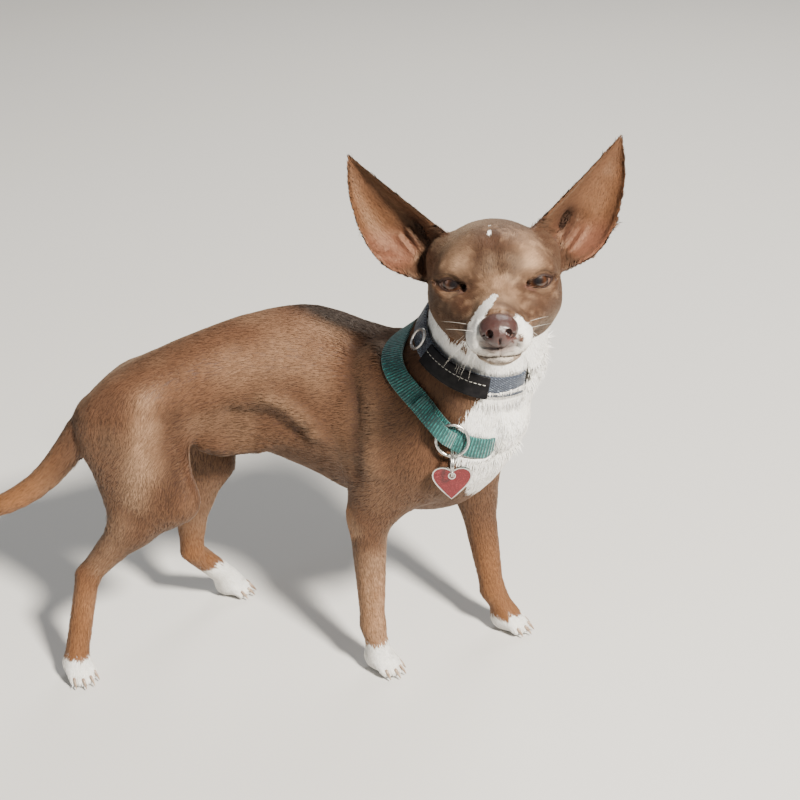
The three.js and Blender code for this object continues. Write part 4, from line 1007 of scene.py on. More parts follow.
bodyLines = metres({
    "nape": [(140, 32, 240), (118, 45, 215), (95, 40, 205)],
    "back": [(95, 35, 203), (40, 35, 212), (-30, 10, 203), (-75, -8, 180), (-88, -18, 158)],
    "tail": [(-80, -18, 158), (-92.5, -25, 139), (-110, -30, 118), (-134, -32, 101), (-160, -30, 92),
        (-200, -24, 105)],
    "rightFlank": [(100, -5, 170), (50, -12, 160), (0, -10, 155), (-40, -30, 150), (-75, -40, 130)],
    "leftFlank": [(110, 65, 165), (50, 75, 155), (0, 55, 155), (-40, 30, 155), (-70, 12, 135)],
    "rightRibs": [(80, -5, 130), (30, -3, 122), (-10, -10, 135)],
    "leftRibs": [(90, 70, 125), (30, 70, 120), (-10, 50, 130)],
    "belly": [(100, 30, 98), (40, 35, 98), (0, 20, 118)],
    "rightForeleg": [(102, -3, 160), (88, -6, 120), (73.5, 1, 99), (77.5, -7, 31), (85, -12, 8)],
    "leftForeleg": [(128, 55, 160), (128, 55, 120), (126.5, 57, 88), (139.5, 48, 27), (150, 47, 8)],
    "rightHindLeg": [(-50, -30, 160), (-45, -35, 125), (-57.5, -28, 94), (-84.5, -37, 62),
        (-90.5, -52, 10)],
    "rightThigh": [(-70, -35, 150), (-75, -35, 115), (-72, -30, 88)],
    "leftHindLeg": [(-50, 28, 155), (-35, 29, 118), (-41.5, 26, 84), (-43.5, 26, 44), (-26, 47, 10)],
    "leftThigh": [(-70, 10, 145), (-68, 16, 110), (-55, 22, 80)],
    "chest": [(150, 5, 222), (155, 6, 195), (153, 5, 165), (140, 15, 130), (115, 28, 105)],
    "rightNeck": [(115, -2, 225), (115, -10, 195), (110, -10, 160)],
    "leftNeck": [(150, 45, 225), (140, 60, 195), (130, 62, 160)],
})
lieReach = 0.005


def allLines():
    lines = [np.array(line) for line in bodyLines.values()]
    lines += [fromHead(line) for line in headLines.values()]
    return lines + [fromHead(np.array(line) * side) for line in pairedHeadLines.values()
                    for side in headSides.values()]


def alongSurface(ways, normals):
    return unit(ways - normals * (ways * normals).sum(axis=1, keepdims=True))


# the way of the nearest lines, laid along the surface
def lieAt(points, normals, lines):
    pull = np.zeros_like(points)
    for line in lines:
        for start, end in zip(line[:-1], line[1:]):
            off = fromSegment(points, start, end)[1]
            weight = 1 / ((off ** 2).sum(axis=1) + lieReach ** 2) ** 2
            pull += weight[:, None] * (end - start) / np.linalg.norm(end - start)
    return alongSurface(unit(pull), normals)


# evens values out between neighbours
def spreadOver(values, edges, rounds):
    first, second = edges.T
    count = np.bincount(first, minlength=len(values)) + np.bincount(second, minlength=len(values))
    for _ in range(rounds):
        total = np.stack([np.bincount(first, column[second], len(values))
                          + np.bincount(second, column[first], len(values)) for column in values.T], axis=1)
        values = 0.5 * values + 0.5 * total / np.maximum(count, 1)[:, None]
    return values


# the name of the CAD node nearest to each point
def nodeOfPoints(points):
    names = skinShape["nodes"] + ["nose"]
    places = [pointsOf(nodes[name]) for name in names]
    labels = np.repeat(np.arange(len(names)), [len(place) for place in places])
    tree = kdtree.KDTree(len(labels))
    for index, place in enumerate(np.concatenate(places)):
        tree.insert(place, index)
    tree.balance()
    return np.array([names[labels[tree.find(point)[1]]] for point in points])


# the coat: short tufts, each a slim closed leaf with its root in the skin

coatParts = {
    "coatFaceRight": {"tufts": 31000, "length": 0.0024, "width": 0.00030, "lift": 0.10},
    "coatFaceLeft": {"tufts": 31000, "length": 0.0024, "width": 0.00030, "lift": 0.10},
    "coatCrown": {"tufts": 22000, "length": 0.0034, "width": 0.00050, "lift": 0.10},
    "coatEars": {"tufts": 31000, "length": 0.0026, "width": 0.00042, "lift": 0.12},
    "coatNeck": {"tufts": 33000, "length": 0.0050, "width": 0.00050, "lift": 0.04},
    "coatShoulder": {"tufts": 33000, "length": 0.0052, "width": 0.00066, "lift": 0.05},
    "coatLoin": {"tufts": 33000, "length": 0.0054, "width": 0.00068, "lift": 0.05},
    "coatForelegs": {"tufts": 20000, "length": 0.0036, "width": 0.00060, "lift": 0.09},
    "coatHindLegs": {"tufts": 23000, "length": 0.0040, "width": 0.00062, "lift": 0.09},
}
# a tuft's points are its start, left, right, ridge and tip; each has a shade of its own: roots darker and
# tips lighter, partly the hair's own colour, partly painted shade at the root and painted sheen at the tip
tuftShape = {"thick": 0.22, "widest": 0.35, "sink": 0.0006, "vary": 0.35, "stray": 0.12, "round": 0.45,
             "patch": 0.003, "tones": 0.16, "shades": (0.70, 0.97, 0.97, 1.02, 1.20)}
leaf = np.array([(0, 3, 1), (0, 2, 3), (0, 1, 2), (4, 1, 3), (4, 3, 2), (4, 2, 1)])


# random places spread evenly over the surface, as corners of triangles and shares of them
def areaSamples(piece, weightOf, count, draw):
    mesh = piece.data
    mesh.calc_loop_triangles()
    triangles = np.zeros(len(mesh.loop_triangles) * 3, np.int32)
    mesh.loop_triangles.foreach_get("vertices", triangles)
    triangles = triangles.reshape(-1, 3)
    corners = pointsOf(piece)[triangles]
    area = np.linalg.norm(np.cross(corners[:, 1] - corners[:, 0], corners[:, 2] - corners[:, 0]), axis=1) / 2
    weight = area * weightOf[triangles].mean(axis=1)
    total = np.cumsum(weight)
    marks = (np.arange(count) + draw.random(count)) / count * total[-1]
    chosen = triangles[np.minimum(np.searchsorted(total, marks), len(triangles) - 1)]
    first, second = draw.random(count), draw.random(count)
    flip = first + second > 1
    first, second = np.where(flip, 1 - first, first), np.where(flip, 1 - second, second)
    return chosen, np.stack([1 - first - second, first, second], axis=1), float((area * (weight > 0)).sum())


# values of the corners, mixed by the shares of each place
def mixed(values, chosen, shares):
    return (values[chosen] * shares[..., None]).sum(axis=1)


def makeMesh(name, points, faces):
    mesh = bpy.data.meshes.new(name)
    mesh.from_pydata(np.asarray(points).tolist(), [], [tuple(face) for face in faces])
    piece = bpy.data.objects.new(name, mesh)
    bpy.context.scene.collection.objects.link(piece)
    return piece


def addColours(piece, colours, name="coatColour"):
    layer = piece.data.color_attributes.new(name, "FLOAT_COLOR", "POINT")
    solid = np.hstack([colours, np.ones((len(colours), 1))])
    layer.data.foreach_set("color", solid.astype(np.float32).ravel())


# a coarse copy of the skin, unwrapped, gives each tuft its place on the map
def unwrappedShell():
    shell = skin.copy()
    shell.data = skin.data.copy()
    bpy.context.scene.collection.objects.link(shell)
    applyModifier(shell, "DECIMATE", ratio=5000 / len(shell.data.polygons))
    editWhole(shell, (bpy.ops.mesh.quads_convert_to_tris, {}),
              (bpy.ops.uv.smart_project, {"angle_limit": math.radians(66), "island_margin": 0.004}))
    mesh = shell.data
    corners = np.zeros(len(mesh.loops) * 2, np.float32)
    mesh.uv_layers.active.data.foreach_get("uv", corners)
    loops = np.zeros(len(mesh.loops), np.int32)
    mesh.loops.foreach_get("vertex_index", loops)
    places = pointsOf(shell)[loops].reshape(-1, 3, 3)
    tree = bvhtree.BVHTree.FromPolygons(pointsOf(shell).tolist(), loops.reshape(-1, 3).tolist())
    bpy.data.objects.remove(shell)
    return tree, places, corners.reshape(-1, 3, 2).astype(float)


# the place on the map of the shell's point nearest to each root
def shellPlaces(roots, shellMap):
    tree, places, corners = shellMap
    faces = np.array([tree.find_nearest(root)[2] for root in roots.tolist()])
    a, b, c = places[faces].transpose(1, 0, 2)
    normal = np.cross(b - a, c - a)
    size = np.maximum((normal ** 2).sum(axis=1), 1e-20)
    second = (np.cross(roots - a, c - a) * normal).sum(axis=1) / size
    third = (np.cross(b - a, roots - a) * normal).sum(axis=1) / size
    shares = np.clip(np.stack([1 - second - third, second, third], axis=1), 0, 1)
    shares /= shares.sum(axis=1, keepdims=True)
    return (corners[faces] * shares[..., None]).sum(axis=1)


# one piece of the coat: points, faces, colours, map and soft normals of all its tufts
def growCoat(name, part, weights, field, shellMap, seed):
    draw = np.random.default_rng(seed)
    chosen, shares, area = areaSamples(skin, weights, part["tufts"], draw)
    at = {key: mixed(value if value.ndim == 2 else value[:, None], chosen, shares)
          for key, value in field.items() if value.dtype == float}
    roots, normals = at["points"], unit(at["normals"])
    lie = alongSurface(at["lie"], normals)
    count = len(roots)
    vary = 1 + tuftShape["vary"] * draw.uniform(-1, 1, (count, 1))
    length = part["length"] * vary * at["size"]
    width = part["width"] * (1 + 0.5 * (vary - 1)) * at["size"]
    lie = unit(lie + np.cross(normals, lie) * draw.normal(0, tuftShape["stray"], (count, 1)))
    across = np.cross(normals, lie)
    rise = part["lift"] * length * draw.uniform(0.5, 1.3, (count, 1))
    bend = at["bend"]
    tip = roots + lie * length + normals * (rise - bend * length ** 2 / 2)
    spread = tuftShape["widest"]
    middle = roots + lie * length * spread + normals * (rise * 0.75 - bend * (length * spread) ** 2 / 2)
    start = roots - normals * tuftShape["sink"]
    left = middle + across * width / 2
    right = middle - across * width / 2
    ridge = middle + normals * width * tuftShape["thick"]
    points = np.stack([start, left, right, ridge, tip], axis=1).reshape(-1, 3)
    faces = (np.arange(count)[:, None, None] * 5 + leaf).reshape(-1, 3)
    piece = makeMesh(name, points, faces)
    colour = markingsAndPaintedLight(roots, (at["onHead"][:, 0] > 0.5).astype(float), at["inEar"][:, 0])
    colour = colour * (1 + tuftShape["tones"] * draw.uniform(-1, 1, (count, 1)))
    # painted shade at the roots and painted sheen at the tips, with the hair's own colour
    colours = (colour[:, None, :] * np.array(tuftShape["shades"])[:, None]).reshape(-1, 3)
    addColours(piece, np.clip(colours, 0, 0.95))
    place = shellPlaces(roots, shellMap)
    reach = tuftShape["patch"] / 2
    patch = np.array(((0, -reach), (-reach, 0), (reach, 0), (0, 0), (0, reach)))
    corners = np.clip(place[:, None, :] + patch, 0, 1)
    layer = piece.data.uv_layers.new(name="OFBake")
    loops = corners[:, leaf.ravel()].reshape(-1, 2)
    layer.data.foreach_set("uv", loops.astype(np.float32).ravel())
    finished(piece, coatLook)
    turned = tuftShape["round"] * across
    out = unit(at["soft"])
    soft = np.stack([out, out + turned, out - turned, out, out + 0.3 * lie], axis=1)
    piece.data.normals_split_custom_set_from_vertices(unit(soft.reshape(-1, 3)).tolist())
    print(name, count, "tufts on", round(area * 1e6), "square mm")
    return piece


def coatMaterial():
    look = Finish("short coat", 0.52, Specular_IOR_Level=0.42, Specular_Tint=(1.0, 0.74, 0.50, 1),
                  Sheen_Weight=0.10, Sheen_Roughness=0.5, Sheen_Tint=(1.0, 0.76, 0.54, 1))
    fine = look.noise(900, detail=2)
    shaded = look.mix(look.maths("MULTIPLY", fine, 0.25), look.attribute("coatColour"), (0.0, 0.0, 0.0))
    look.link(shaded, "Base Color")
    return look.material


def skinMaterial():
    look = Finish("skin under the coat", 0.55, Specular_IOR_Level=0.2)
    # the skin darker than the coat over it: painted shade under the coat
    look.link(look.mix(0.28, look.attribute("coatColour"), (0.0, 0.0, 0.0)), "Base Color")
    look.bump(look.noise(1400, detail=4), 0.6, 0.0004)
    return look.material


# what the coat follows at each point of the skin: the way it lies and how the surface bends along it
def coatField():
    points, normals = pointsOf(skin), normalsOf(skin)
    names = nodeOfPoints(points)
    edges = edgesOf(skin)
    lie = lieAt(points, normals, allLines())
    for side in ("left", "right"):
        ear = names == f"ear_{side}"
        lie[ear] = lieAt(points[ear], normals[ear], [fromHead(line) for line in earLines[side]])
    lie = alongSurface(spreadOver(lie, edges, 12), normals)
    first, second = edges.T
    step = points[second] - points[first]
    turned = normals[second] - normals[first]
    bend = np.zeros((len(points), 2))
    for at in (first, second):
        reach = (step * lie[at]).sum(axis=1)
        bend[:, 0] += np.bincount(at, (turned * lie[at]).sum(axis=1) * reach, len(points))
        bend[:, 1] += np.bincount(at, reach ** 2, len(points))
    bend = spreadOver((bend[:, :1] / np.maximum(bend[:, 1:], 1e-12)), edges, 10)[:, 0]
    return {"points": points, "normals": normals, "names": names, "lie": lie,
            "bend": np.clip(bend, -150, 150), "edges": edges}


# how much longer the coat is over a hidden band, and shorter beside a bare one
ruffShape = {"below": 0.002, "above": 0.006, "inside": 0.004, "longer": 0.15, "shorter": 0.50}


def ruffOf(points, edges):
    ruff = np.zeros(len(points))
    for band in bandFrames.values():
        angle, height, radius, _ = aroundBand(points, band)
        outer, low, high = bandProfile(band, angle)
        beside = (height > low - ruffShape["below"]) & (height < high + ruffShape["above"])
        beside &= (angle < band["until"]) & (radius > outer - ruffShape["inside"])
        ruff += ruffShape["longer"] * beside * (angle > band["wholly"] + 3)
        bare = beside * (angle > band["partly"] - 12) * (angle < band["wholly"]) * (height > low)
        ruff -= ruffShape["shorter"] * bare
    ruff = np.clip(ruff, -ruffShape["shorter"], ruffShape["longer"])
    return spreadOver(ruff[:, None], edges, 4)[:, 0]


coatLook = coatMaterial()
field = coatField()
points, names, edges = field["points"], field["names"], field["edges"]
inHeadPoints = toHead(points)
earName = np.char.startswith(names, "ear_")
face = (names == "head") & (inHeadPoints[:, 0] > -0.008)
inEar = earName & (field["normals"] @ headAxes[0] > 0.15)
ruff = ruffOf(points, edges)
field["onHead"] = ((names == "head") | (names == "nose") | earName).astype(float)
field["inEar"] = spreadOver(inEar.astype(float)[:, None], edges, 6)[:, 0]
field["soft"] = unit(spreadOver(field["normals"], edges, 3))
field["bend"] *= 1 - smoothStep(0.02, 0.2, np.abs(ruff))
field["grows"] = growing(points) & ~underBands(points)

# the coat is finer on the face, under the jaw, on the paws and beside the nose
field["size"] = np.ones(len(points))
field["size"][face] = 0.75 + 0.35 * fade("face", inHeadPoints[face, 0])
field["size"] *= 1 - 0.35 * (names == "neck") * fade("underJaw", aboveCollar(points))
field["size"] *= 1 - 0.4 * fade("paws", points[:, 2])
field["size"] *= 1 + ruff
field["size"] *= 1 - 0.45 * fade("besideNose", lineDistance(points, nosePlaces()))

addColours(skin, markingsAndPaintedLight(points, field["onHead"], field["inEar"]))
finished(skin, skinMaterial(), skinShape["nodes"])
shellMap = unwrappedShell()
print("shell unwrapped")
legs = np.char.startswith(names, "leg_")
torso = names == "torso"
fore = points[:, 0] > 0.035
regions = {
    "coatFaceRight": face & (inHeadPoints[:, 1] <= 0),
    "coatFaceLeft": face & (inHeadPoints[:, 1] > 0),
    "coatCrown": (names == "head") & ~face,
    "coatEars": earName,
    "coatNeck": names == "neck",
    "coatShoulder": torso & fore,
    "coatLoin": (torso & ~fore) | (names == "tail"),
    "coatForelegs": legs & (points[:, 0] > 0.03),
    "coatHindLegs": legs & (points[:, 0] <= 0.03),
}
for seed, (name, region) in enumerate(regions.items()):
    weights = region * field["grows"] / field["size"] ** 2
    growCoat(name, coatParts[name], weights, field, shellMap, seed + 1)


# eyes: one ball each, with its iris drawn from the middle of the gaze

eyeFinish = {"pupil": 0.0026, "iris": 0.0056, "rings": 48, "segments": 64, "turnOut": 3, "turnUp": 9,
             "bulge": 0.0006, "bulgeFrom": 0.0060, "bulgeTo": 0.0035}


def eyeMaterial():
    look = Finish("eye", 0.35, Coat_Weight=1.0, Coat_Roughness=0.015, Specular_IOR_Level=0.1)
    parts = look.node("SeparateXYZ", {"Vector": look.attribute("gaze", "Vector")}).outputs
    radius = look.maths("SQRT", look.maths("ADD", look.maths("MULTIPLY", parts["Y"], parts["Y"]),
                                           look.maths("MULTIPLY", parts["Z"], parts["Z"])))
    angle = look.maths("ARCTAN2", parts["Z"], parts["Y"])
    streak = look.node("CombineXYZ", {"X": look.maths("MULTIPLY", angle, 5.0),
                                      "Y": look.maths("MULTIPLY", radius, 160.0)}).outputs[0]
    fibres = look.noise(3.0, streak, detail=4)
    share = look.maths("DIVIDE", radius, eyeFinish["iris"])
    iris = look.ramp(look.maths("ADD", share, look.maths("MULTIPLY", fibres, 0.25)),
                     (0.42, (0.014, 0.006, 0.003)), (0.74, (0.052, 0.019, 0.007)),
                     (0.92, (0.026, 0.010, 0.005)), (1.0, (0.012, 0.006, 0.004)))
    edge = eyeFinish["pupil"]
    pupil = look.ramp(radius, (edge * 0.92, (0, 0, 0)), (edge * 1.06, (1, 1, 1)))
    ball = look.ramp(share, (0.93, (0, 0, 0)), (0.99, (1, 1, 1)))
    colour = look.mix(pupil, (0.004, 0.004, 0.005), iris)
    look.link(look.mix(ball, colour, (0.10, 0.055, 0.04)), "Base Color")
    return look.material


def makeEyes():
    look = eyeMaterial()
    for name, side, centre, radius, _ in eyeParts():
        deselectAll()
        bpy.ops.mesh.primitive_uv_sphere_add(segments=eyeFinish["segments"], ring_count=eyeFinish["rings"],
                                             radius=radius, location=centre)
        ball = bpy.context.object
        ball.name = f"eyeball_{name}"
        bpy.ops.object.transform_apply(location=True, rotation=True, scale=True)
        gaze = eyeAxes(side, eyeFinish)
        local = (pointsOf(ball) - centre) @ gaze.T
        bulge = smoothStep(eyeFinish["bulgeFrom"], eyeFinish["bulgeTo"], np.hypot(local[:, 1], local[:, 2]))
        bulge = eyeFinish["bulge"] * bulge * (local[:, 0] > 0)
        setPoints(ball, pointsOf(ball) + bulge[:, None] * gaze[0])
        layer = ball.data.attributes.new("gaze", "FLOAT_VECTOR", "POINT")
        layer.data.foreach_set("vector", local.astype(np.float32).ravel())
        finished(ball, look, [f"eye_{name}"])


makeEyes()
print("eyes set")


# nose leather: its nostrils, each with a wing over it, are lines beside and over the middle of the nose

noseFinish = {
    "voxel": 0.00034,
    "narrow": 0.98,
    "shift": -0.0004,
    "liver": (0.045, 0.019, 0.016),
    "pink": (0.17, 0.060, 0.052),
    "deep": (0.010, 0.004, 0.004),
    "pebble": 1500,
    "slot": [(0.0525, 0.0044, -0.0006), (0.0480, 0.0086, -0.0026)],
    "slotWidth": 0.0013,
    "slotDepth": 0.0020,
    "wing": [(0.0525, 0.0048, 0.0024), (0.0490, 0.0084, 0.0006)],
    "wingWidth": 0.0014,
    "wingHeight": 0.0007,
    "cleftWidth": 0.0006,
    "cleftDepth": 0.0009,
}


def noseMaterial():
    look = Finish("nose leather", 0.42, Coat_Weight=0.22, Coat_Roughness=0.28, Subsurface_Weight=0.08,
                  Subsurface_Scale=0.002)
    creases = look.cells(noseFinish["pebble"], "Distance", feature="SMOOTH_F1")
    # the creases between the pebbles darkened: painted shade
    share = look.maths("MULTIPLY", creases, 0.45)
    look.link(look.mix(share, look.attribute("noseColour"), (0.03, 0.010, 0.008)), "Base Color")
    look.bump(creases, 0.5, -0.00025)
    return look.material


def makeNose():
    nose = copyOf("noseLeather", "nose")
    nose.data.remesh_voxel_size = noseFinish["voxel"]
    makeActive(nose)
    bpy.ops.object.voxel_remesh()
    applyModifier(nose, "SMOOTH", factor=0.5, iterations=9)
    inHead = toHead(pointsOf(nose))
    middle = (inHead.max(axis=0) + inHead.min(axis=0)) / 2
    inHead[:, 1] = middle[1] + (inHead[:, 1] - middle[1]) * noseFinish["narrow"] + noseFinish["shift"]
    inSlot = np.zeros(len(inHead))
    for side in (-1, 1):
        slot, wing = (np.array(noseFinish[key]) * (1, side, 1) + (0, 0, middle[2])
                      for key in ("slot", "wing"))
        reach = bellOf(lineDistance(inHead, slot), noseFinish["slotWidth"])
        inSlot = np.maximum(inSlot, reach)
        raised = noseFinish["wingHeight"] * bellOf(lineDistance(inHead, wing), noseFinish["wingWidth"])
        inHead[:, 0] += raised - noseFinish["slotDepth"] * reach
    cleft = bellOf(inHead[:, 1], noseFinish["cleftWidth"]) * (inHead[:, 2] < middle[2] - 0.001)
    inHead[:, 0] -= noseFinish["cleftDepth"] * cleft
    setPoints(nose, fromHead(inHead))
    warm = smoothStep(0.0, 0.009, inHead[:, 1])
    warm *= smoothStep(middle[2] + 0.002, middle[2] - 0.006, inHead[:, 2])
    liver, pink, deep = (np.array(noseFinish[key]) for key in ("liver", "pink", "deep"))
    colours = liver + warm[:, None] * 0.55 * (pink - liver)
    # the nostrils darkened: painted shade inside them
    colours += (deep - colours) * smoothStep(0.35, 0.8, inSlot)[:, None]
    addColours(nose, colours, "noseColour")
    finished(nose, noseMaterial(), ["nose"])


makeNose()
print("nose made")


# claws

def clawMaterial():
    look = Finish("claw horn", 0.32)
    grain = look.noise(500, detail=3)
    look.link(look.ramp(grain, (0.35, (0.20, 0.13, 0.09)), (0.7, (0.42, 0.32, 0.24))), "Base Color")
    look.bump(grain, 0.2, 0.0002)
    return look.material


def makeClaws():
    horn = clawMaterial()
    for leg in ("front", "hind"):
        for side in ("left", "right"):
            names = [f"claw_{leg}_{side}_{toe}" for toe in (1, 2, 3, 4)]
            claws = copyOf(f"claws_{leg}_{side}", *names)
            applyModifier(claws, "SUBSURF", levels=1, render_levels=1)
            finished(claws, horn, names)


makeClaws()
print("claws made")


# whiskers: slim tapered hairs in rows on both sides of the muzzle, in the head's frame

whiskerShape = {
    "rows": [{"height": -0.0135, "count": 2, "reach": 0.013, "way": (-0.5, 1.0, 0.10), "droop": 0.001},
             {"height": -0.0180, "count": 4, "reach": 0.015, "way": (-0.4, 0.9, -0.75), "droop": 0.004},
             {"height": -0.0210, "count": 5, "reach": 0.015, "way": (-0.2, 0.5, -1.0), "droop": 0.003}],
    "front": 0.0420,
    "back": 0.0310,
    "side": 0.0140,
    "radius": 0.000085,
    "steps": 9,
}


# adds a closed tube round a path to the points and faces: it thins towards its tip to the end share
def addTube(points, faces, path, radius, endShare=0.15, sides=4, beside=(0.3, 0.1, 1.0)):
    path = np.array(path)
    ways = unit(np.gradient(path, axis=0))
    side = unit(np.cross(ways, beside))
    over = np.cross(ways, side)
    taper = radius * (1 - (1 - endShare) * np.linspace(0, 1, len(path)) ** 1.5)
    turns = (np.arange(sides) * 2 * math.pi / sides)[None, :, None]
    first, last = len(points), len(points) + (len(path) - 1) * sides
    for start in range(first, last, sides):
        for turn in range(sides):
            a, b = start + turn, start + (turn + 1) % sides
            faces.append((a, b, b + sides, a + sides))
    faces.append(tuple(first + turn for turn in reversed(range(sides))))
    faces.append(tuple(last + turn for turn in range(sides)))
    ring = np.cos(turns) * side[:, None] + np.sin(turns) * over[:, None]
    points += (path[:, None] + taper[:, None, None] * ring).reshape(-1, 3).tolist()


def whiskerMaterial():
    look = Finish("whisker", 0.3)
    look.link(look.ramp(look.noise(300), (0.3, (0.50, 0.46, 0.41)), (0.8, (0.78, 0.75, 0.70))), "Base Color")
    return look.material


def treeOf(piece):
    faces = [tuple(face.vertices) for face in piece.data.polygons]
    return bvhtree.BVHTree.FromPolygons(pointsOf(piece).tolist(), faces)


def makeWhiskers():
    draw = np.random.default_rng(41)
    tree = treeOf(skin)
    points, faces = [], []
    seeds = []
    front, back = whiskerShape["front"], whiskerShape["back"]
    for side in (-1, 1):
        for row in whiskerShape["rows"]:
            for share in np.linspace(0, 1, row["count"]):
                start = (front + (back - front) * share, side * whiskerShape["side"] * (0.72 + 0.28 * share),
                         row["height"] + 0.001 * share)
                way = (row["way"][0] * (0.2 + share), side * row["way"][1], row["way"][2])
                seeds.append((start, way, row["reach"] * draw.uniform(0.7, 1.15), row["droop"]))
    for start, way, reach, droop in seeds:
        root = np.array(tree.find_nearest(fromHead(start))[0])
        heading = unit(np.array(way) + draw.normal(0, 0.08, 3)) @ headAxes
        t = np.linspace(-0.03, 1, whiskerShape["steps"])[:, None]
        path = root + heading * reach * t - np.array((0, 0, 1)) * droop * t ** 2
        addTube(points, faces, path, whiskerShape["radius"])
    finished(makeMesh("whiskers", points, faces), whiskerMaterial())


makeWhiskers()
print("whiskers set")


# bands: the collar, its leather sleeve and the lower strap, refined from their solids

# a map along the band and across it, in metres, for the pattern of its threads
def bandMap(piece, band):
    degrees, height = aroundBand(pointsOf(piece), band)[:2]
    angle = np.radians(degrees)
    layer = piece.data.uv_layers.new(name="band")
    for face in piece.data.polygons:
        first = angle[face.vertices[0]]
        for loop, vertex in zip(face.loop_indices, face.vertices):
            turned = first + (angle[vertex] - first + math.pi) % (2 * math.pi) - math.pi
            layer.data[loop].uv = (turned * band["radius"], height[vertex])


# threads of two colours: their pitch along and across the band, and how much they stand up as ribs
def weaveMaterial(name, ground, thread, amount, pitch, ribs):
    look = Finish(name, 0.62, Sheen_Weight=0.3)
    place = look.node("UVMap", uv_map="band").outputs["UV"]
    parts = look.node("SeparateXYZ", {"Vector": place}).outputs
    along = look.maths("SINE", look.maths("MULTIPLY", parts["X"], 2 * math.pi / pitch[0]))
    across = look.maths("SINE", look.maths("MULTIPLY", parts["Y"], 2 * math.pi / pitch[1]))
    weave = look.maths("MULTIPLY", along, across)
    height = look.maths("ADD", look.maths("MULTIPLY", along, ribs), look.maths("MULTIPLY", weave, 1 - ribs))
    loose = look.noise(700, detail=3)
    lifted = look.ramp(look.maths("ADD", look.maths("MULTIPLY", height, 0.25), loose),
                       (0.62 - amount, (0, 0, 0)), (0.80 - amount, (1, 1, 1)))
    worn = look.mix(look.noise(60), ground, [c * 0.55 for c in ground])
    look.link(look.mix(lifted, worn, thread), "Base Color")
    look.bump(height, 0.8, 0.0003)
    return look.material


def leatherMaterial():
    look = Finish("sleeve leather", 0.38, Specular_IOR_Level=0.10)
    grain = look.cells(1500, "Distance", feature="SMOOTH_F1")
    wrinkle = look.noise(260, detail=5)
    look.link(look.ramp(wrinkle, (0.35, (0.003, 0.003, 0.004)), (0.75, (0.012, 0.011, 0.012))), "Base Color")
    look.bump(look.maths("ADD", grain, wrinkle), 0.35, 0.00025)
    return look.material


bandFinish = {
    "collarBand": {"node": "collar_band", "frame": "collar", "slot": "webbing", "edge": 0.0005},
    "lowerStrap": {"node": "lower_strap", "frame": "lower", "slot": "teal", "edge": 0.0004},
    "strapFold": {"node": "strap_fold", "frame": "lower", "slot": "teal", "edge": 0.0004},
    "collarSleeve": {"node": "collar_sleeve", "frame": "collar", "slot": "sleeve", "edge": 0.0007},
}
weaves = {
    "webbing": weaveMaterial("blue webbing", (0.005, 0.015, 0.040), (0.17, 0.22, 0.28), 0.01,
                             (0.0019, 0.0013), 0.15),
    "teal": weaveMaterial("teal webbing", (0.002, 0.072, 0.068), (0.015, 0.21, 0.19), 0.02,
                          (0.0013, 0.006), 0.85),
    "sleeve": leatherMaterial(),
}


def makeBands():
    for name, band in bandFinish.items():
        piece = copyOf(name, band["node"])
        flat = {"face_threshold": math.radians(50), "shape_threshold": math.radians(60)}
        editWhole(piece, (bpy.ops.mesh.tris_convert_to_quads, flat))
        applyModifier(piece, "BEVEL", width=band["edge"], segments=2, limit_method="ANGLE",
                      angle_limit=math.radians(50))
        applyModifier(piece, "SUBSURF", levels=1, render_levels=1)
        loop = bandFrames[band["frame"]]
        angle, _, _, outward = aroundBand(pointsOf(piece), loop)
        sunk = bandCover["bandSinks"] * coveredShare(angle, loop)
        setPoints(piece, pointsOf(piece) - outward * sunk[:, None])
        bandMap(piece, loop)
        finished(piece, weaves[band["slot"]], [band["node"]])


makeBands()
print("bands made")


# pale stitches along the leather, each an arch that dips in at its ends

stitchShape = {"height": 0.66, "pitch": 0.0027, "long": 0.0019, "radius": 0.00022, "arch": 0.00018,
               "steps": 5, "clear": (2.5, 1.5)}


def threadMaterial():
    look = Finish("pale thread", 0.7)
    look.link(look.ramp(look.noise(1500), (0.3, (0.34, 0.34, 0.31)), (0.7, (0.60, 0.59, 0.54))), "Base Color")
    return look.material


def makeStitches():
    sleeve, band = bpy.data.objects["collarSleeve"], bandFrames["collar"]
    angle, height, radius, _ = aroundBand(pointsOf(sleeve), band)
    tree = treeOf(sleeve)
    way, ahead, aside = bandAxes(band)
    begin, end = angle.min() + stitchShape["clear"][0], angle.max() - stitchShape["clear"][1]
    turns = np.radians(np.arange(begin, end, math.degrees(stitchShape["pitch"] / radius.max())))
    level = height.min() + (height.max() - height.min()) * stitchShape["height"]
    middle = np.array(band["place"]) + way * level
    points, faces = [], []
    for turn in turns:
        path = []
        for share in np.linspace(-0.5, 0.5, stitchShape["steps"]):
            bent = turn + share * stitchShape["long"] / radius.max()
            out = ahead * math.cos(bent) + aside * math.sin(bent)
            hit, normal = tree.ray_cast(Vector(middle + out * 0.08), Vector(-out))[:2]
            if hit is None:
                break
            path.append(np.array(hit) + np.array(normal) * stitchShape["arch"] * (1 - 8 * share ** 2))
        if len(path) == stitchShape["steps"]:
            addTube(points, faces, path, stitchShape["radius"], 1.0)
    finished(makeMesh("sleeveStitches", points, faces), threadMaterial())


makeStitches()
print("stitches sewn")


# steel rings, and the split ring as two turns of wire, flat along the way that the tag faces

tagFacing = (0.208, -0.978, 0)
splitShape = {"radius": 0.0072, "wire": 0.00043, "apart": 0.00042, "turns": 2, "steps": 110, "crossing": 0.08,
              "sides": 8, "turned": 0.985}


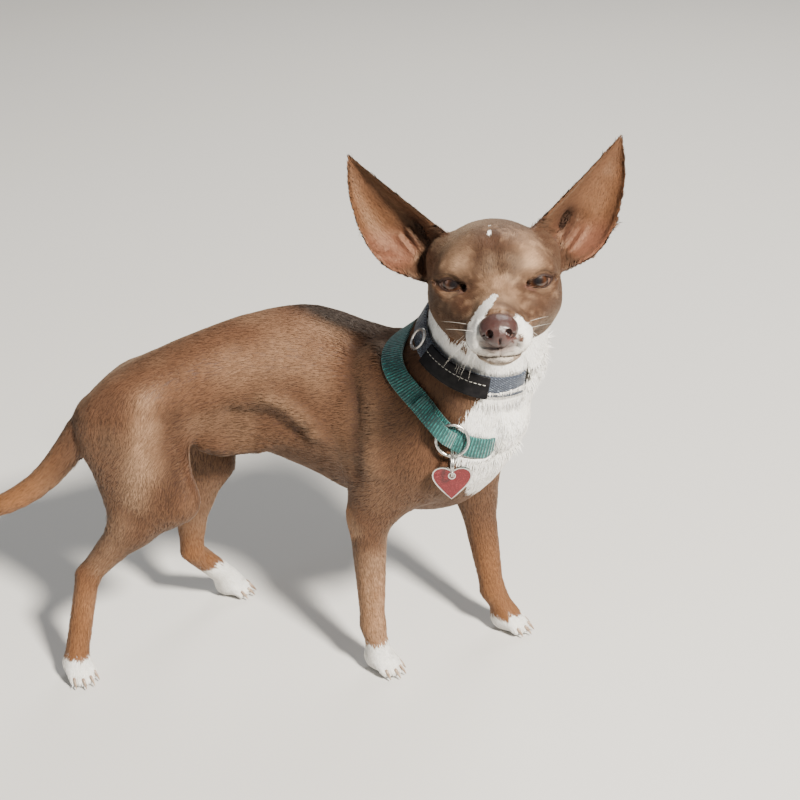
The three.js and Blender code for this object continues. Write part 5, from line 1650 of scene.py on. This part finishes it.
def steelMaterial():
    look = Finish("steel", 0.3, Metallic=1.0)
    wear = look.noise(700, detail=4)
    look.link(look.ramp(wear, (0.3, (0.42, 0.41, 0.39)), (0.7, (0.66, 0.65, 0.62))), "Base Color")
    look.link(look.ramp(wear, (0.3, (0.38, 0.38, 0.38)), (0.7, (0.22, 0.22, 0.22))), "Roughness")
    look.bump(wear, 0.12, 0.0001)
    return look.material


def makeRings():
    steel = steelMaterial()
    for name, node in (("ovalRing", "oval_ring"), ("tagRing", "tag_ring")):
        ring = copyOf(name, node)
        applyModifier(ring, "SUBSURF", levels=2, render_levels=2)
        finished(ring, steel, [node])
    middle = np.array(centreOf("split_ring"))
    facing, above = np.array(tagFacing), np.array((0, 0, 1))
    beside = np.cross(facing, above)
    turn = np.linspace(0, splitShape["turns"], splitShape["steps"])
    half, crossing = splitShape["turns"] / 2, splitShape["crossing"]
    side = splitShape["apart"] * (2 * smoothStep(half - crossing, half + crossing, turn) - 1)
    angle = 2 * math.pi * turn * splitShape["turned"]
    path = middle + splitShape["radius"] * (np.cos(angle)[:, None] * facing + np.sin(angle)[:, None] * above)
    path += side[:, None] * beside
    points, faces = [], []
    addTube(points, faces, path, splitShape["wire"], 1.0, splitShape["sides"], beside)
    finished(makeMesh("splitRing", points, faces), steel, ["split_ring"])


makeRings()
print("rings made")


# the heart tag: a bare steel rim round sunk red enamel with fine glitter

tagShape = {"rim": 0.0006, "wall": 0.00012, "sunk": 0.00015}


def tagMaterial():
    look = Finish("red enamel and steel", 0.3, Coat_Weight=0.15, Coat_Roughness=0.12)
    enamel = look.attribute("enamel", "Fac")
    tone = look.node("SeparateColor", {"Color": look.cells(4600, "Color")}).outputs[0]
    glitter = look.ramp(tone, (0.90, (0, 0, 0)), (0.98, (1, 1, 1)))
    red = look.mix(look.noise(180), (0.12, 0.0015, 0.005), (0.075, 0.001, 0.003))
    shine = look.maths("MULTIPLY", look.node("RGBToBW", {"Color": glitter}).outputs[0], 0.7)
    sparkling = look.mix(shine, red, (0.40, 0.05, 0.06))
    look.link(look.mix(enamel, (0.60, 0.58, 0.56), sparkling), "Base Color")
    look.link(look.maths("SUBTRACT", 1.0, enamel), "Metallic")
    return look.material


# both faces are inset twice, to a steel rim and a low wall, and what lies inside is marked as enamel
def makeTag():
    tag = copyOf("heartTag", "heart_tag")
    facing = Vector(tagFacing)
    makeActive(tag)
    bpy.ops.object.mode_set(mode="EDIT")
    bpy.ops.mesh.select_mode(type="FACE")
    for way in (1, -1):
        mesh = bmesh.from_edit_mesh(tag.data)
        for face in mesh.faces:
            face.select_set(face.normal.dot(facing * way) > 0.9)
        mesh.select_flush_mode()
        bmesh.update_edit_mesh(tag.data)
        bpy.ops.mesh.inset(thickness=tagShape["rim"], use_even_offset=False)
        bpy.ops.mesh.inset(thickness=tagShape["wall"], depth=-tagShape["sunk"], use_even_offset=False)
        bpy.ops.mesh.select_mode(type="FACE")
        mesh = bmesh.from_edit_mesh(tag.data)
        layer = mesh.faces.layers.int.get("inner") or mesh.faces.layers.int.new("inner")
        for face in mesh.faces:
            if face.select:
                face[layer] = 1
        bmesh.update_edit_mesh(tag.data)
    bpy.ops.object.mode_set(mode="OBJECT")
    inner = np.zeros(len(tag.data.polygons), np.int32)
    tag.data.attributes["inner"].data.foreach_get("value", inner)
    amount = np.zeros(len(tag.data.vertices), np.float32)
    for face in tag.data.polygons:
        if inner[face.index]:
            amount[list(face.vertices)] = 1
    tag.data.attributes.remove(tag.data.attributes["inner"])
    layer = tag.data.attributes.new("enamel", "FLOAT", "POINT")
    layer.data.foreach_set("value", amount)
    finished(tag, tagMaterial(), ["heart_tag"], smooth=False)


makeTag()
print("tag made")
